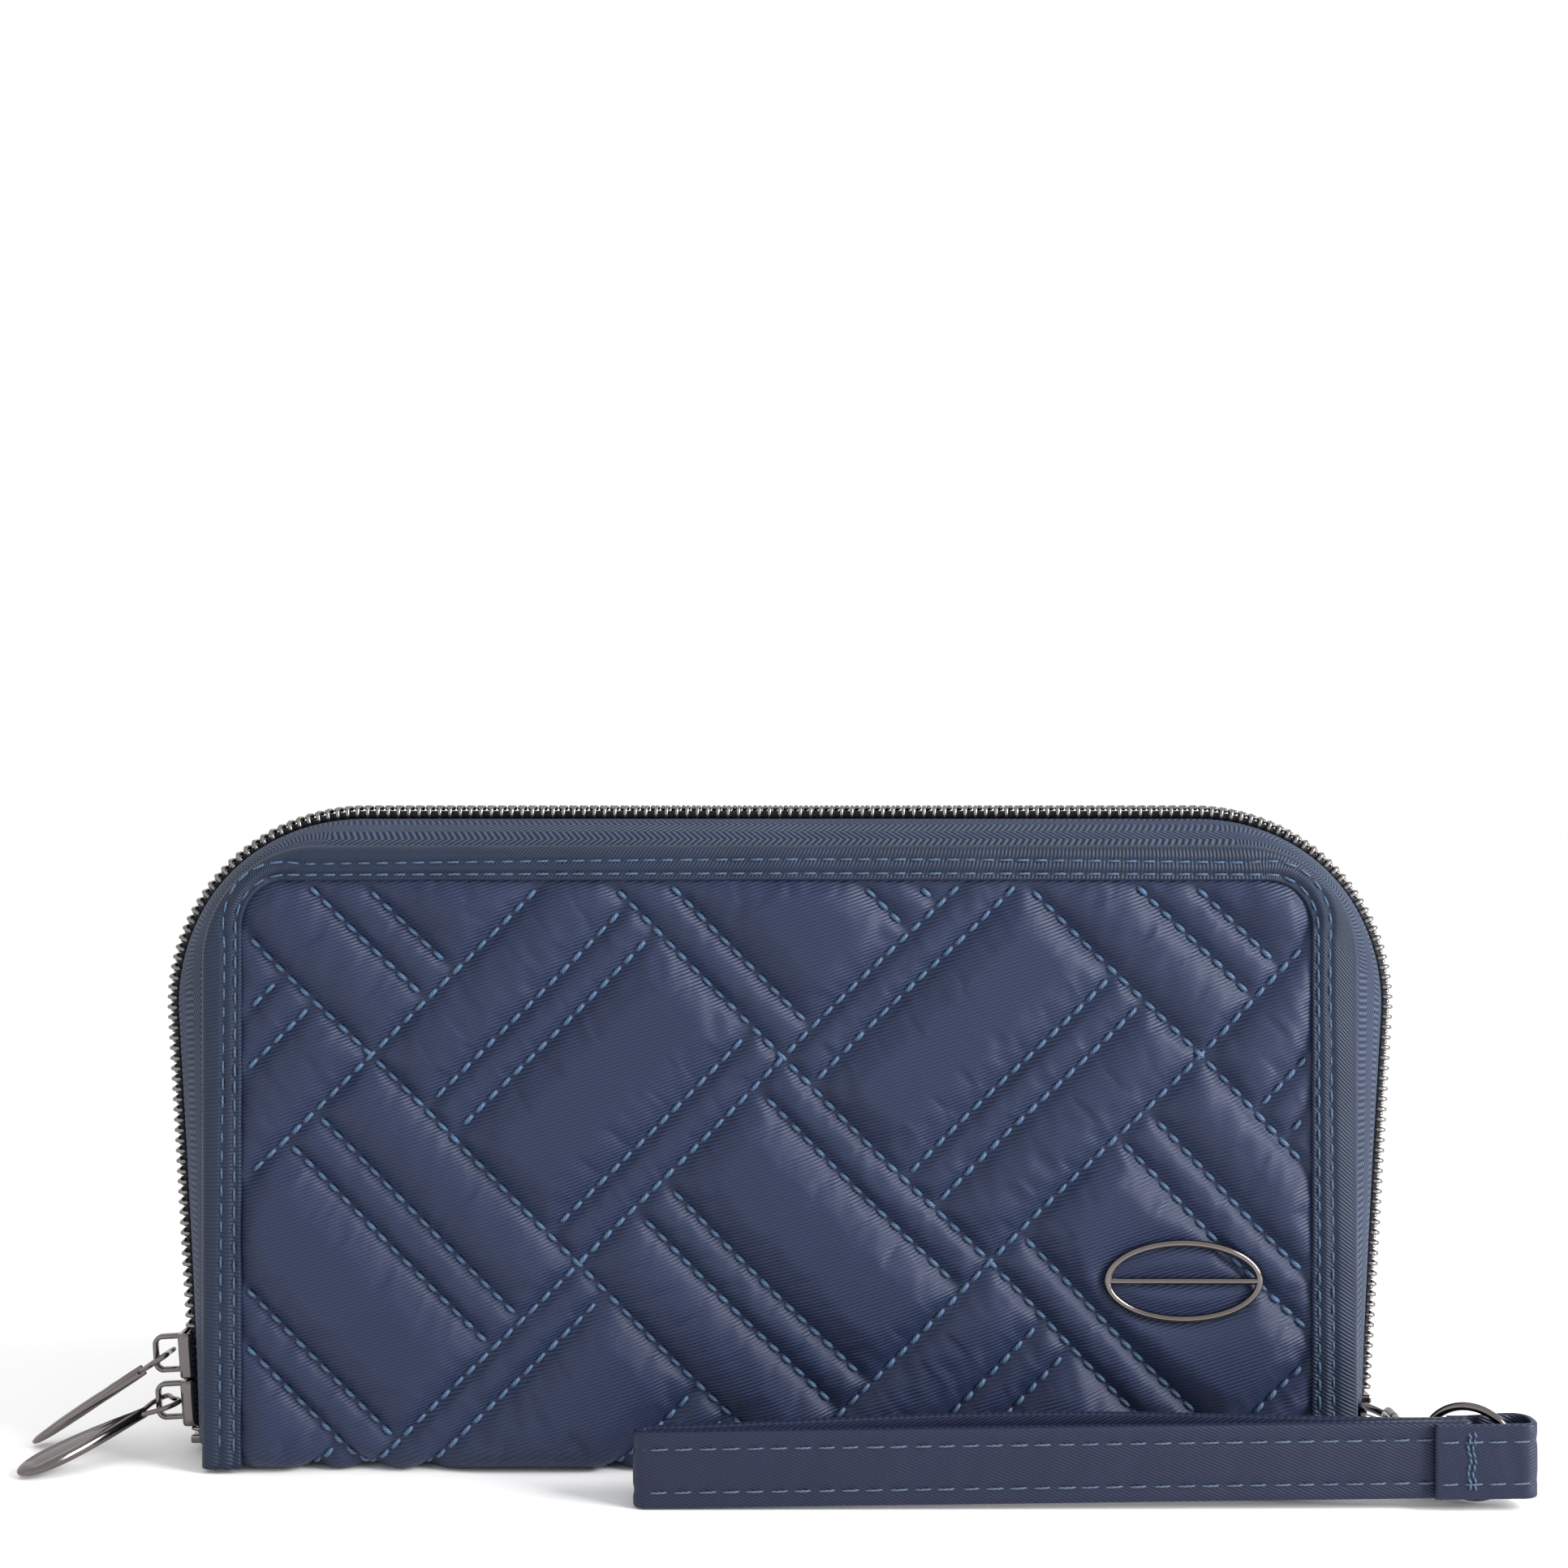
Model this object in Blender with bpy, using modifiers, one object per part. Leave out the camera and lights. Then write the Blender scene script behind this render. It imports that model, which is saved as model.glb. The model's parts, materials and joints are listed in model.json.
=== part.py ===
"""Zip-around wristlet wallet: a quilted clamshell with a two-slider zip, a coin pocket leaf and a wrist strap.

Frame: metres, +Z up, +X to the wearer's right as the front face is read, -Y towards the viewer of that face.
The origin is the middle of the base, on the surface that the wallet stands on.
"""

import math

import bmesh
import bpy
from mathutils import Matrix, Vector

MM = 0.001

# Shell
PANEL_W = 198.6 * MM
PANEL_H = 107.5 * MM
DEPTH = 30.0 * MM
CORNER_R = 20.0 * MM
COVER_T = 3.5 * MM
BINDING_W = 7.5 * MM
BINDING_PROUD = 0.4 * MM
BINDING_LIFT = 1.8 * MM
RIM_T = 1.2 * MM
RIM_INSET = 1.8 * MM
CHANNEL_PLAY = 0.35 * MM
SPINE_T = 3.0 * MM
SPINE_EDGE_R = 1.3 * MM
GAP = 0.3 * MM
LINING_T = 0.7 * MM

# Zip
CHAIN_BASE_OUT = 4.9 * MM
CHAIN_LEAN = 0.0575
CHAIN_TOP_OUT = 6.8 * MM
CHAIN_CORNER_R = 35.0 * MM
CHAIN_HALF_W = 2.9 * MM
CHAIN_SPLIT = 0.6 * MM
CHAIN_T = 2.5 * MM
CHAIN_FOOT_Z = 3.2 * MM
RIGHT_FOOT_Z = 10.2 * MM
TAPE_T = 0.6 * MM
TAPE_SEAM = 4.0 * MM
TAPE_FLAT_HALF = 3.6 * MM
LEFT_STUB_TOP = 25.6 * MM
RIGHT_STUB_TOP = 13.4 * MM
STOP_L = 1.5 * MM
COIL_DETAIL_CORNER = 7

# Sliders
SLIDER_L = 8.0 * MM
SLIDER_W = 8.2 * MM
SLIDER_INNER_W = 6.2 * MM
SLIDER_PLATE = 0.9 * MM
SLIDER_PLAY = 0.3 * MM
SLIDER_POST_W = 0.7 * MM
SLIDER_POST_L = 2.2 * MM
LOWER_SLIDER_AT = 8.6 * MM
SLIDER_SPACING = SLIDER_L + 0.4 * MM
BRIDGE_L = 6.8 * MM
BRIDGE_H = 5.0 * MM
BRIDGE_W = 1.6 * MM
BRIDGE_T = 0.9 * MM
BRIDGE_CORNER = 1.8 * MM

# Pulls
PULL_L = 29.5 * MM
PULL_W = 7.0 * MM
PULL_T = 2.4 * MM
PULL_EYE_L = 5.2 * MM
PULL_EYE_HALF_W = 2.4 * MM
PULL_WIRE_R = 0.45 * MM
LOWER_PULL_YAW = 42.0
LOWER_PULL_DROOP = 15.0
LOWER_PULL_SIDE = 0.9 * MM
UPPER_PULL_YAW = -3.0
UPPER_PULL_DROOP = 33.5
UPPER_PULL_SIDE = 0.0
PULL_PIVOT_OUT = 2.25 * MM

# Inside
CARD_T = 0.45 * MM
CARD_SIDE = 13.3 * MM
CARD_FOOT = 6.0 * MM
CARD_STEP = 15.0 * MM
CARD_BELOW_TOP = 23.5 * MM
LEAF_HALF_T = 3.2 * MM
LEAF_WALL = 0.5 * MM
LEAF_SIDE = 15.3 * MM
LEAF_FOOT = 5.0 * MM
LEAF_BELOW_TOP = 17.5 * MM
LEAF_FOLD_HALF = 1.0 * MM
LEAF_FOLD_H = 4.5 * MM
LEAF_HINGE_Z = 4.6 * MM
COIN_CHAIN_HALF_W = 2.0 * MM
COIN_CHAIN_T = 1.6 * MM
COIN_CHAIN_SPLIT = 0.5 * MM
COIN_SLIDER_L = 7.0 * MM
COIN_SLIDER_FROM_END = 18.0 * MM
COIN_PULL_L = 15.0 * MM
GUSSET_T = 0.5 * MM
GUSSET_PLEAT = 3.2 * MM
GUSSET_BELOW_TOP = 25.5 * MM
WINDOW_W = 62.0 * MM
WINDOW_H = 48.0 * MM
WINDOW_T = 0.3 * MM

# Badge
BADGE_FROM_SIDE = 30.3 * MM
BADGE_Z = 33.0 * MM
BADGE_W = 26.0 * MM
BADGE_H = 13.0 * MM
BADGE_WIRE = 0.65 * MM
BADGE_GAP = 0.15 * MM

# Wristlet hardware
TAB_W = 8.0 * MM
TAB_Y = 3.0 * MM
TAB_Z = 6.2 * MM
TAB_T = 0.8 * MM
DRING_BAR_OUT = 3.3 * MM
DRING_HALF_W = 5.0 * MM
DRING_LEG = 2.9 * MM
DRING_WIRE_R = 0.7 * MM
DRING_DROOP = 18.0
CLASP_OUT = 8.9 * MM
CLASP_Z = 3.8 * MM
HOOK_TIP_Y = 2.4 * MM
HOOK_L = 14.0 * MM
HOOK_H = 7.0 * MM
HOOK_BEAK = 3.4 * MM
HOOK_WIRE_R = 0.8 * MM
BARREL_R = 2.3 * MM
BARREL_L = 8.0 * MM
GATE_R = 0.75 * MM
GATE_PIN_R = 0.35 * MM
GATE_TAIL = 1.9 * MM
EAR_T = 0.5 * MM
EAR_PLAY = 0.2 * MM
GATE_PIN_PLAY = 0.1 * MM
EYE_Y = -27.0 * MM
EYE_R = 2.2 * MM
EYE_WIRE_R = 0.55 * MM
STEM_R = 0.9 * MM
STEM_HEAD_R = 1.5 * MM
RING_PLAY = 1.15 * MM
RING_WIRE_R = 0.7 * MM
RING_YAW = 28.5

# Strap
STRAP_H = 12.5 * MM
STRAP_T = 1.6 * MM
STRAP_LEFT_X = -24.0 * MM
STRAP_FRONT_OFF = 0.095 * MM
STRAP_BULGE = 5.6 * MM
STRAP_FOLD_R = 1.5 * MM
STRAP_LIFT = 1.85 * MM
WRAP_L = 13.6 * MM
SEWN_GAP = 1.5 * MM
FOLD_R = 3.0 * MM
FOLD_ROOM = 7.4 * MM
WRAP_BACK_L = 10.2 * MM
WRAP_UNDER = 0.4 * MM
WRAP_T = 1.0 * MM

HALF_W = PANEL_W / 2
FRONT_Y = -DEPTH / 2
COVER_IN = DEPTH / 2 - COVER_T
LINING_OUT = COVER_IN - GAP
LINING_IN = LINING_OUT - LINING_T
CARD_OUT = LINING_IN - GAP
HINGE_Y = DEPTH / 2
HINGE_Z = SPINE_T + GAP / 2
TAPE_Y = COVER_IN - GAP - TAPE_T / 2
CARD_W = PANEL_W - 2 * CARD_SIDE
CARD_TOP = PANEL_H - CARD_BELOW_TOP
LEAF_W = PANEL_W - 2 * LEAF_SIDE
LEAF_TOP = PANEL_H - LEAF_BELOW_TOP
COIN_SLIDER_X = COIN_SLIDER_FROM_END - LEAF_W / 2
GUSSET_X = HALF_W - BINDING_W - GAP
GUSSET_TOP = PANEL_H - GUSSET_BELOW_TOP
BADGE_X = HALF_W - BADGE_FROM_SIDE
DRING_BAR_X = HALF_W + DRING_BAR_OUT
CLASP_X = HALF_W + CLASP_OUT
RING_R = STRAP_H / 2 + RING_PLAY
WRAP_H = STRAP_H - WRAP_UNDER

COLOURS = {
    "quilt": ((0.075, 0.105, 0.205), 0.5, 0.0),
    "binding": ((0.06, 0.09, 0.17), 0.55, 0.0),
    "tape": ((0.055, 0.085, 0.16), 0.75, 0.0),
    "lining": ((0.16, 0.17, 0.2), 0.7, 0.0),
    "pocket": ((0.1, 0.13, 0.22), 0.6, 0.0),
    "vinyl": ((0.8, 0.82, 0.85), 0.15, 0.0),
    "coil": ((0.3, 0.28, 0.27), 0.3, 0.9),
    "gunmetal": ((0.22, 0.2, 0.19), 0.18, 1.0),
    "strap": ((0.06, 0.08, 0.17), 0.55, 0.0),
}


def clear_scene():
    for obj in list(bpy.data.objects):
        bpy.data.objects.remove(obj)


def new_collection(name):
    made = bpy.data.collections.new(name)
    bpy.context.scene.collection.children.link(made)
    return made


def make_materials():
    made = {}
    for name, (colour, roughness, metallic) in COLOURS.items():
        material = bpy.data.materials.new(name)
        material.use_nodes = True
        shader = material.node_tree.nodes["Principled BSDF"]
        shader.inputs["Base Color"].default_value = (*colour, 1)
        shader.inputs["Roughness"].default_value = roughness
        shader.inputs["Metallic"].default_value = metallic
        made[name] = material
    return made


clear_scene()
PARTS = new_collection("wristlet_wallet")
CUTTERS = new_collection("cutters")
MATERIALS = make_materials()


def add_object(name, mesh, material, helper=False):
    """A mesh as an object of the wallet or, as a helper, of the cutters."""
    obj = bpy.data.objects.new(name, mesh)
    (CUTTERS if helper else PARTS).objects.link(obj)
    mesh.materials.clear()
    mesh.materials.append(MATERIALS[material])
    if helper:
        obj.hide_render = True
        obj.display_type = "WIRE"
    return obj


def from_curve(name, curve, matrix, material, helper=False):
    """The mesh of a curve, its caps welded, with its matrix put into the vertices."""
    source = bpy.data.objects.new(name + "_curve", curve)
    bpy.context.scene.collection.objects.link(source)
    source.matrix_world = matrix
    bpy.context.view_layer.update()
    graph = bpy.context.evaluated_depsgraph_get()
    mesh = bpy.data.meshes.new_from_object(source.evaluated_get(graph))
    bpy.data.objects.remove(source)
    mesh.transform(matrix)
    work = bmesh.new()
    work.from_mesh(mesh)
    bmesh.ops.remove_doubles(work, verts=work.verts, dist=0.01 * MM)
    bmesh.ops.recalc_face_normals(work, faces=work.faces)
    work.to_mesh(mesh)
    work.free()
    return add_object(name, mesh, material, helper)


def plate(name, outline, y_low, y_high, material, helper=False):
    """A flat piece in the XZ plane between two depths, from its outline of (x, z) points."""
    curve = bpy.data.curves.new(name, "CURVE")
    curve.dimensions = "2D"
    curve.fill_mode = "BOTH"
    curve.extrude = (y_high - y_low) / 2
    spline = curve.splines.new("POLY")
    spline.points.add(len(outline) - 1)
    for point, (x, z) in zip(spline.points, outline):
        point.co = (x, z, 0, 1)
    spline.use_cyclic_u = True
    upright = Matrix.Translation((0, (y_low + y_high) / 2, 0)) @ Matrix.Rotation(math.pi / 2, 4, "X")
    return from_curve(name, curve, upright, material, helper)


def tube(name, points, radius, material, cyclic=False, helper=False, sides=2):
    """A round wire along points, with filled ends where it isn't a ring."""
    curve = bpy.data.curves.new(name, "CURVE")
    curve.dimensions = "3D"
    curve.bevel_depth = radius
    curve.bevel_resolution = sides
    curve.use_fill_caps = not cyclic
    spline = curve.splines.new("POLY")
    spline.points.add(len(points) - 1)
    for point, place in zip(spline.points, points):
        point.co = (*place, 1)
    spline.use_cyclic_u = cyclic
    return from_curve(name, curve, Matrix.Identity(4), material, helper)


def box(name, low, high, material, bevel=0.0, helper=False):
    """A cuboid between two corners, its edges rounded if bevel is given."""
    work = bmesh.new()
    bmesh.ops.create_cube(work, size=1)
    size = Vector(high) - Vector(low)
    centre = (Vector(high) + Vector(low)) / 2
    bmesh.ops.transform(work, matrix=Matrix.Translation(centre) @ Matrix.Diagonal((*size, 1)), verts=work.verts)
    mesh = bpy.data.meshes.new(name)
    work.to_mesh(mesh)
    work.free()
    obj = add_object(name, mesh, material, helper)
    if bevel:
        rounding = obj.modifiers.new("edges", "BEVEL")
        rounding.width = bevel
        rounding.segments = 2
    return obj


def cylinder(name, start, end, radius, material, helper=False, segments=20):
    """A round bar between two points."""
    work = bmesh.new()
    axis = Vector(end) - Vector(start)
    bmesh.ops.create_cone(
        work, cap_ends=True, segments=segments, radius1=radius, radius2=radius, depth=axis.length
    )
    turn = axis.to_track_quat("Z", "Y").to_matrix().to_4x4()
    middle = (Vector(start) + Vector(end)) / 2
    bmesh.ops.transform(work, matrix=Matrix.Translation(middle) @ turn, verts=work.verts)
    mesh = bpy.data.meshes.new(name)
    work.to_mesh(mesh)
    work.free()
    return add_object(name, mesh, material, helper)


def loft(name, rings, material, helper=False):
    """A closed body through rings of points that match one to one, capped at both ends."""
    work = bmesh.new()
    loops = [[work.verts.new(place) for place in ring] for ring in rings]
    count = len(rings[0])
    for first, second in zip(loops, loops[1:]):
        for i in range(count):
            j = (i + 1) % count
            work.faces.new((first[i], first[j], second[j], second[i]))
    work.faces.new(loops[0][::-1])
    work.faces.new(loops[-1])
    bmesh.ops.recalc_face_normals(work, faces=work.faces)
    mesh = bpy.data.meshes.new(name)
    work.to_mesh(mesh)
    work.free()
    return add_object(name, mesh, material, helper)


def combine(obj, others, operation):
    """Joins others to obj, or cuts them from it, and leaves them as helpers."""
    for other in others:
        step = obj.modifiers.new(operation.lower(), "BOOLEAN")
        step.operation = operation
        step.object = other
    return obj


def round_smooth(obj, degrees=40):
    obj.data.shade_smooth()
    obj.data.set_sharp_from_angle(angle=math.radians(degrees))
    return obj


def pivot(name, matrix, parent=None):
    """An empty on a joint's axis, for the pieces that move with it."""
    empty = bpy.data.objects.new(name, None)
    PARTS.objects.link(empty)
    empty.matrix_world = matrix
    if parent:
        hold(empty, parent)
    return empty


def hold(obj, parent):
    """Parents obj where it stands."""
    bpy.context.view_layer.update()
    obj.parent = parent
    obj.matrix_parent_inverse = parent.matrix_world.inverted()
    return obj


def place_in(obj, frame, parent):
    """Moves an object modelled about its own origin into a frame, and parents it."""
    obj.matrix_world = frame
    return hold(obj, parent)


def arc(centre, radius, start, end, steps):
    """Points of an arc, in degrees from the first axis."""
    found = []
    for i in range(steps + 1):
        angle = math.radians(start + (end - start) * i / steps)
        found.append((centre[0] + radius * math.cos(angle), centre[1] + radius * math.sin(angle)))
    return found


def arch(inset, bottom, radius=None, steps=7):
    """The cover's outline, pulled in by inset at its sides and top, anticlockwise from bottom left."""
    half = HALF_W - inset
    top = PANEL_H - inset
    corner = max(CORNER_R - inset, 2 * MM) if radius is None else radius
    right = arc((half - corner, top - corner), corner, 0, 90, steps)
    left = arc((corner - half, top - corner), corner, 90, 180, steps)
    return [(-half, bottom), (half, bottom), *right, *left]


def edge_path(inset, bottom, steps=7):
    """The same outline as an open line, from the left foot over the top to the right foot."""
    outline = arch(inset, bottom, steps=steps)
    return [outline[0], *outline[:1:-1], outline[1]]


# Zip path


def chain_centre():
    """Centre of the left corner arc of the chain's outer line."""
    z = PANEL_H + CHAIN_TOP_OUT - CHAIN_CORNER_R
    stretch = math.sqrt(1 + CHAIN_LEAN**2)
    x = chain_x(z) + CHAIN_CORNER_R * stretch
    return x, z


def chain_x(z):
    """Outer line of the left side of the chain: it leans outwards as it rises."""
    return -(HALF_W + CHAIN_BASE_OUT) - CHAIN_LEAN * (z - CHAIN_FOOT_Z)


def zip_stations():
    """Pairs of (cover edge, chain line) points in XZ, from the left foot to the top's middle."""
    cx, cz = chain_centre()
    lean = math.degrees(math.atan(CHAIN_LEAN))
    straight_end = cz - CHAIN_CORNER_R * math.sin(math.radians(lean))
    edge_corner = (CORNER_R - HALF_W, PANEL_H - CORNER_R)
    pairs = []
    levels = [CHAIN_FOOT_Z, RIGHT_FOOT_Z, RIGHT_STUB_TOP, RIGHT_STUB_TOP + GAP, LEFT_STUB_TOP, LEFT_STUB_TOP + GAP]
    levels += [straight_end * share for share in (0.55, 0.78)]
    for z in levels:
        pairs.append(((-HALF_W, z), (chain_x(z), z)))
    chain_arc = arc((cx, cz), CHAIN_CORNER_R, 180 + lean, 90, COIL_DETAIL_CORNER)
    edge_arc = arc(edge_corner, CORNER_R, 180, 90, COIL_DETAIL_CORNER)
    pairs += list(zip(edge_arc, chain_arc))
    reach = abs(edge_corner[0])
    for share in (0.55, 0.0):
        pairs.append(((-reach * share, PANEL_H), (cx * share, PANEL_H + CHAIN_TOP_OUT)))
    return pairs


def mirrored(pairs):
    """The stations carried on from the middle of the top to the right foot."""
    other = [((-edge[0], edge[1]), (-chain[0], chain[1])) for edge, chain in reversed(pairs[:-1])]
    return pairs + other


STATIONS = mirrored(zip_stations())
LEFT_FOOT = 0
RIGHT_FOOT = len(STATIONS) - 2
LEFT_STUB_END = 4
RIGHT_STUB_END = RIGHT_FOOT - 1


def outward(edge, chain):
    """Unit direction in XZ from the cover's edge to the chain."""
    way = Vector((chain[0] - edge[0], chain[1] - edge[1]))
    return way.normalized()


def tape_ring(edge, chain, side):
    """Section of a tape half: sewn behind the binding, out to the chain, then flat under it."""
    way = outward(edge, chain)

    def at(base, along, y):
        return (base[0] + way.x * along, side * y, base[1] + way.y * along)

    flat = -(CHAIN_T + GAP + TAPE_T / 2)
    half = TAPE_T / 2
    return [
        at(edge, -TAPE_SEAM, TAPE_Y + half),
        at(edge, 0, TAPE_Y + half),
        at(chain, flat + half, TAPE_FLAT_HALF),
        at(chain, flat + half, CHAIN_SPLIT),
        at(chain, flat - half, CHAIN_SPLIT),
        at(chain, flat - half, TAPE_FLAT_HALF),
        at(edge, 0, TAPE_Y - half),
        at(edge, -TAPE_SEAM, TAPE_Y - half),
    ]


def chain_ring(edge, chain, side):
    """Section of a chain half, as the envelope of its coil."""
    way = outward(edge, chain)
    chamfer = 0.5 * MM
    profile = [
        (0, CHAIN_SPLIT),
        (0, CHAIN_HALF_W - chamfer),
        (-chamfer, CHAIN_HALF_W),
        (chamfer - CHAIN_T, CHAIN_HALF_W),
        (-CHAIN_T, CHAIN_HALF_W - chamfer),
        (-CHAIN_T, CHAIN_SPLIT),
    ]
    return [(chain[0] + way.x * a, side * y, chain[1] + way.y * a) for a, y in profile]


def zip_half(name, ring, side, first, last, material):
    rings = [ring(edge, chain, side) for edge, chain in STATIONS[first : last + 1]]
    return loft(name, rings, material)


# Shell pieces


def make_cover(side, label):
    """Quilted panel, and the binding whose channel takes the panel's thin rim. side is -1 in front."""
    outer = side * DEPTH / 2
    inner = side * COVER_IN
    middle = (outer + inner) / 2
    foot = SPINE_T + GAP
    core_inset = BINDING_W + GAP
    panel = plate(f"{label}_panel", arch(core_inset, foot), *sorted((outer, inner)), "quilt")
    rim_y = sorted((middle - RIM_T / 2, middle + RIM_T / 2))
    rim = plate(f"{label}_rim", arch(RIM_INSET, foot + GAP), *rim_y, "quilt", helper=True)
    combine(panel, [rim], "UNION")

    outside = edge_path(0, BINDING_LIFT)
    inside = edge_path(BINDING_W, BINDING_LIFT)
    outline = outside + inside[::-1]
    faces = sorted((outer + side * BINDING_PROUD, inner))
    binding = plate(f"{label}_binding", outline[::-1], *faces, "binding")
    channel_y = (middle - RIM_T / 2 - CHANNEL_PLAY, middle + RIM_T / 2 + CHANNEL_PLAY)
    below = BINDING_LIFT - 2 * MM
    channel = plate(
        f"{label}_channel", arch(RIM_INSET - CHANNEL_PLAY, below), *channel_y, "binding", helper=True
    )
    combine(binding, [channel], "DIFFERENCE")
    lining_y = sorted((side * LINING_OUT, side * LINING_IN))
    lining = plate(f"{label}_lining", arch(core_inset, SPINE_T + 2 * GAP + LINING_T), *lining_y, "lining")
    return [panel, binding, lining]


def make_spine():
    half = HALF_W - BINDING_W - GAP
    spine = box("spine_panel", (-half, FRONT_Y, 0), (half, -FRONT_Y, SPINE_T), "quilt", SPINE_EDGE_R)
    top = SPINE_T + GAP
    box("spine_lining", (-half, -CARD_OUT, top), (half, CARD_OUT, top + LINING_T), "lining")
    return spine


def make_zip():
    """Both halves of tape and chain. The rear half's ends stay with the front, as closed stubs."""
    zip_half("front_zip_tape", tape_ring, -1, LEFT_FOOT, RIGHT_FOOT, "tape")
    zip_half("front_zip_chain", chain_ring, -1, LEFT_FOOT, RIGHT_FOOT, "coil")
    zip_half("left_end_tape", tape_ring, 1, LEFT_FOOT, LEFT_STUB_END, "tape")
    zip_half("left_end_chain", chain_ring, 1, LEFT_FOOT, LEFT_STUB_END, "coil")
    zip_half("right_end_tape", tape_ring, 1, RIGHT_STUB_END, RIGHT_FOOT, "tape")
    zip_half("right_end_chain", chain_ring, 1, RIGHT_STUB_END, RIGHT_FOOT, "coil")
    moving = [
        zip_half("rear_zip_tape", tape_ring, 1, LEFT_STUB_END + 1, RIGHT_STUB_END - 1, "tape"),
        zip_half("rear_zip_chain", chain_ring, 1, LEFT_STUB_END + 1, RIGHT_STUB_END - 1, "coil"),
    ]
    for side, label, foot in ((-1, "left", CHAIN_FOOT_Z), (1, "right", RIGHT_FOOT_Z)):
        line = side * abs(chain_x(foot))
        xs = sorted((line, line - side * CHAIN_T))
        top = foot - GAP
        low = (xs[0], -CHAIN_HALF_W, top - STOP_L)
        high = (xs[1], CHAIN_HALF_W, top)
        box(f"{label}_zip_stop", low, high, "gunmetal", 0.4 * MM)
    return moving


# Sliders and pulls


def slider_frame(z):
    """Frame on the chain's outer line at height z: X outwards, Z up along the chain."""
    up = Vector((-CHAIN_LEAN, 0, 1)).normalized()
    out = Vector((-1, 0, -CHAIN_LEAN)).normalized()
    turn = Matrix((out, up.cross(out), up)).transposed().to_4x4()
    return Matrix.Translation((chain_x(z), 0, z)) @ turn


def slider_body(name):
    """Two plates joined by the post that parts the chain, about the chain's outer line."""
    half = SLIDER_L / 2
    outer = (SLIDER_PLAY, SLIDER_PLAY + SLIDER_PLATE)
    deep = -(CHAIN_T + GAP + TAPE_T + SLIDER_PLAY)
    body = box(
        name, (outer[0], -SLIDER_W / 2, -half), (outer[1], SLIDER_W / 2, half), "gunmetal"
    )
    inner = box(
        f"{name}_inner",
        (deep - SLIDER_PLATE, -SLIDER_INNER_W / 2, -half),
        (deep, SLIDER_INNER_W / 2, half),
        "gunmetal",
        helper=True,
    )
    post_top = half - 0.5 * MM
    post = box(
        f"{name}_post",
        (deep - SLIDER_PLATE / 2, -SLIDER_POST_W / 2, post_top - SLIDER_POST_L),
        (outer[0] + SLIDER_PLATE / 2, SLIDER_POST_W / 2, post_top),
        "gunmetal",
        helper=True,
    )
    combine(body, [inner, post], "UNION")
    return body, [inner, post]


def slider_bridge(name):
    """The arch that the pull's eye goes round, standing on the slider's outer plate."""
    base = SLIDER_PLAY + SLIDER_PLATE + GAP
    half = BRIDGE_L / 2
    top = base + BRIDGE_H
    corner = BRIDGE_CORNER
    outside = [(base, -half)]
    outside += arc((top - corner, corner - half), corner, -90, 0, 4)
    outside += arc((top - corner, half - corner), corner, 0, 90, 4)
    outside.append((base, half))
    inner_corner = corner - BRIDGE_T
    inside = [(base, half - BRIDGE_T)]
    inside += arc((top - corner, half - corner), inner_corner, 90, 0, 4)
    inside += arc((top - corner, corner - half), inner_corner, 0, -90, 4)
    inside.append((base, BRIDGE_T - half))
    return plate(name, outside + inside, -BRIDGE_W / 2, BRIDGE_W / 2, "gunmetal")


def pull_body(name, length, width, thick, eye_length, eye_half, wire):
    """Teardrop pull along +X with a wire eye about its origin."""
    bar = (0, 0)
    eye = [(bar[0], -eye_half, 0), (bar[0], eye_half, 0)]
    neck = eye_length + 2 * wire
    eye += [(eye_length * 0.75, eye_half, 0), (neck, wire, 0), (neck, -wire, 0), (eye_length * 0.75, -eye_half, 0)]
    ring = tube(f"{name}_eye", eye, wire, "gunmetal", cyclic=True, helper=True)
    rings = []
    steps = 9
    for i in range(steps + 1):
        share = i / steps
        x = neck + (length - neck) * (1 - math.cos(share * math.pi)) / 2
        swell = math.sqrt(max(1 - max(share * 1.28 - 0.28, 0) ** 4, 0.02))
        half = (0.12 + 0.88 * math.sin(min(share / 0.78, 1) * math.pi / 2)) * width / 2 * swell
        height = (0.55 + 0.45 * math.sin(share * math.pi)) * thick / 2 * min(swell + 0.2, 1)
        side = [(x, half * math.cos(a), height * math.sin(a)) for a in (i * math.pi / 4 for i in range(8))]
        rings.append(side)
    body = loft(name, rings, "gunmetal")
    combine(body, [ring], "UNION")
    return round_smooth(body), [ring]


def pull_frame(slider, out, side, yaw, droop):
    """Frame of a pull's pivot: its X runs along the pull, yawed about the upright and drooping."""
    place = slider @ Vector((out, side, 0))
    turn = Matrix.Rotation(math.radians(180 + yaw), 4, "Z") @ Matrix.Rotation(math.radians(droop), 4, "Y")
    return Matrix.Translation(place) @ turn


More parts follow.
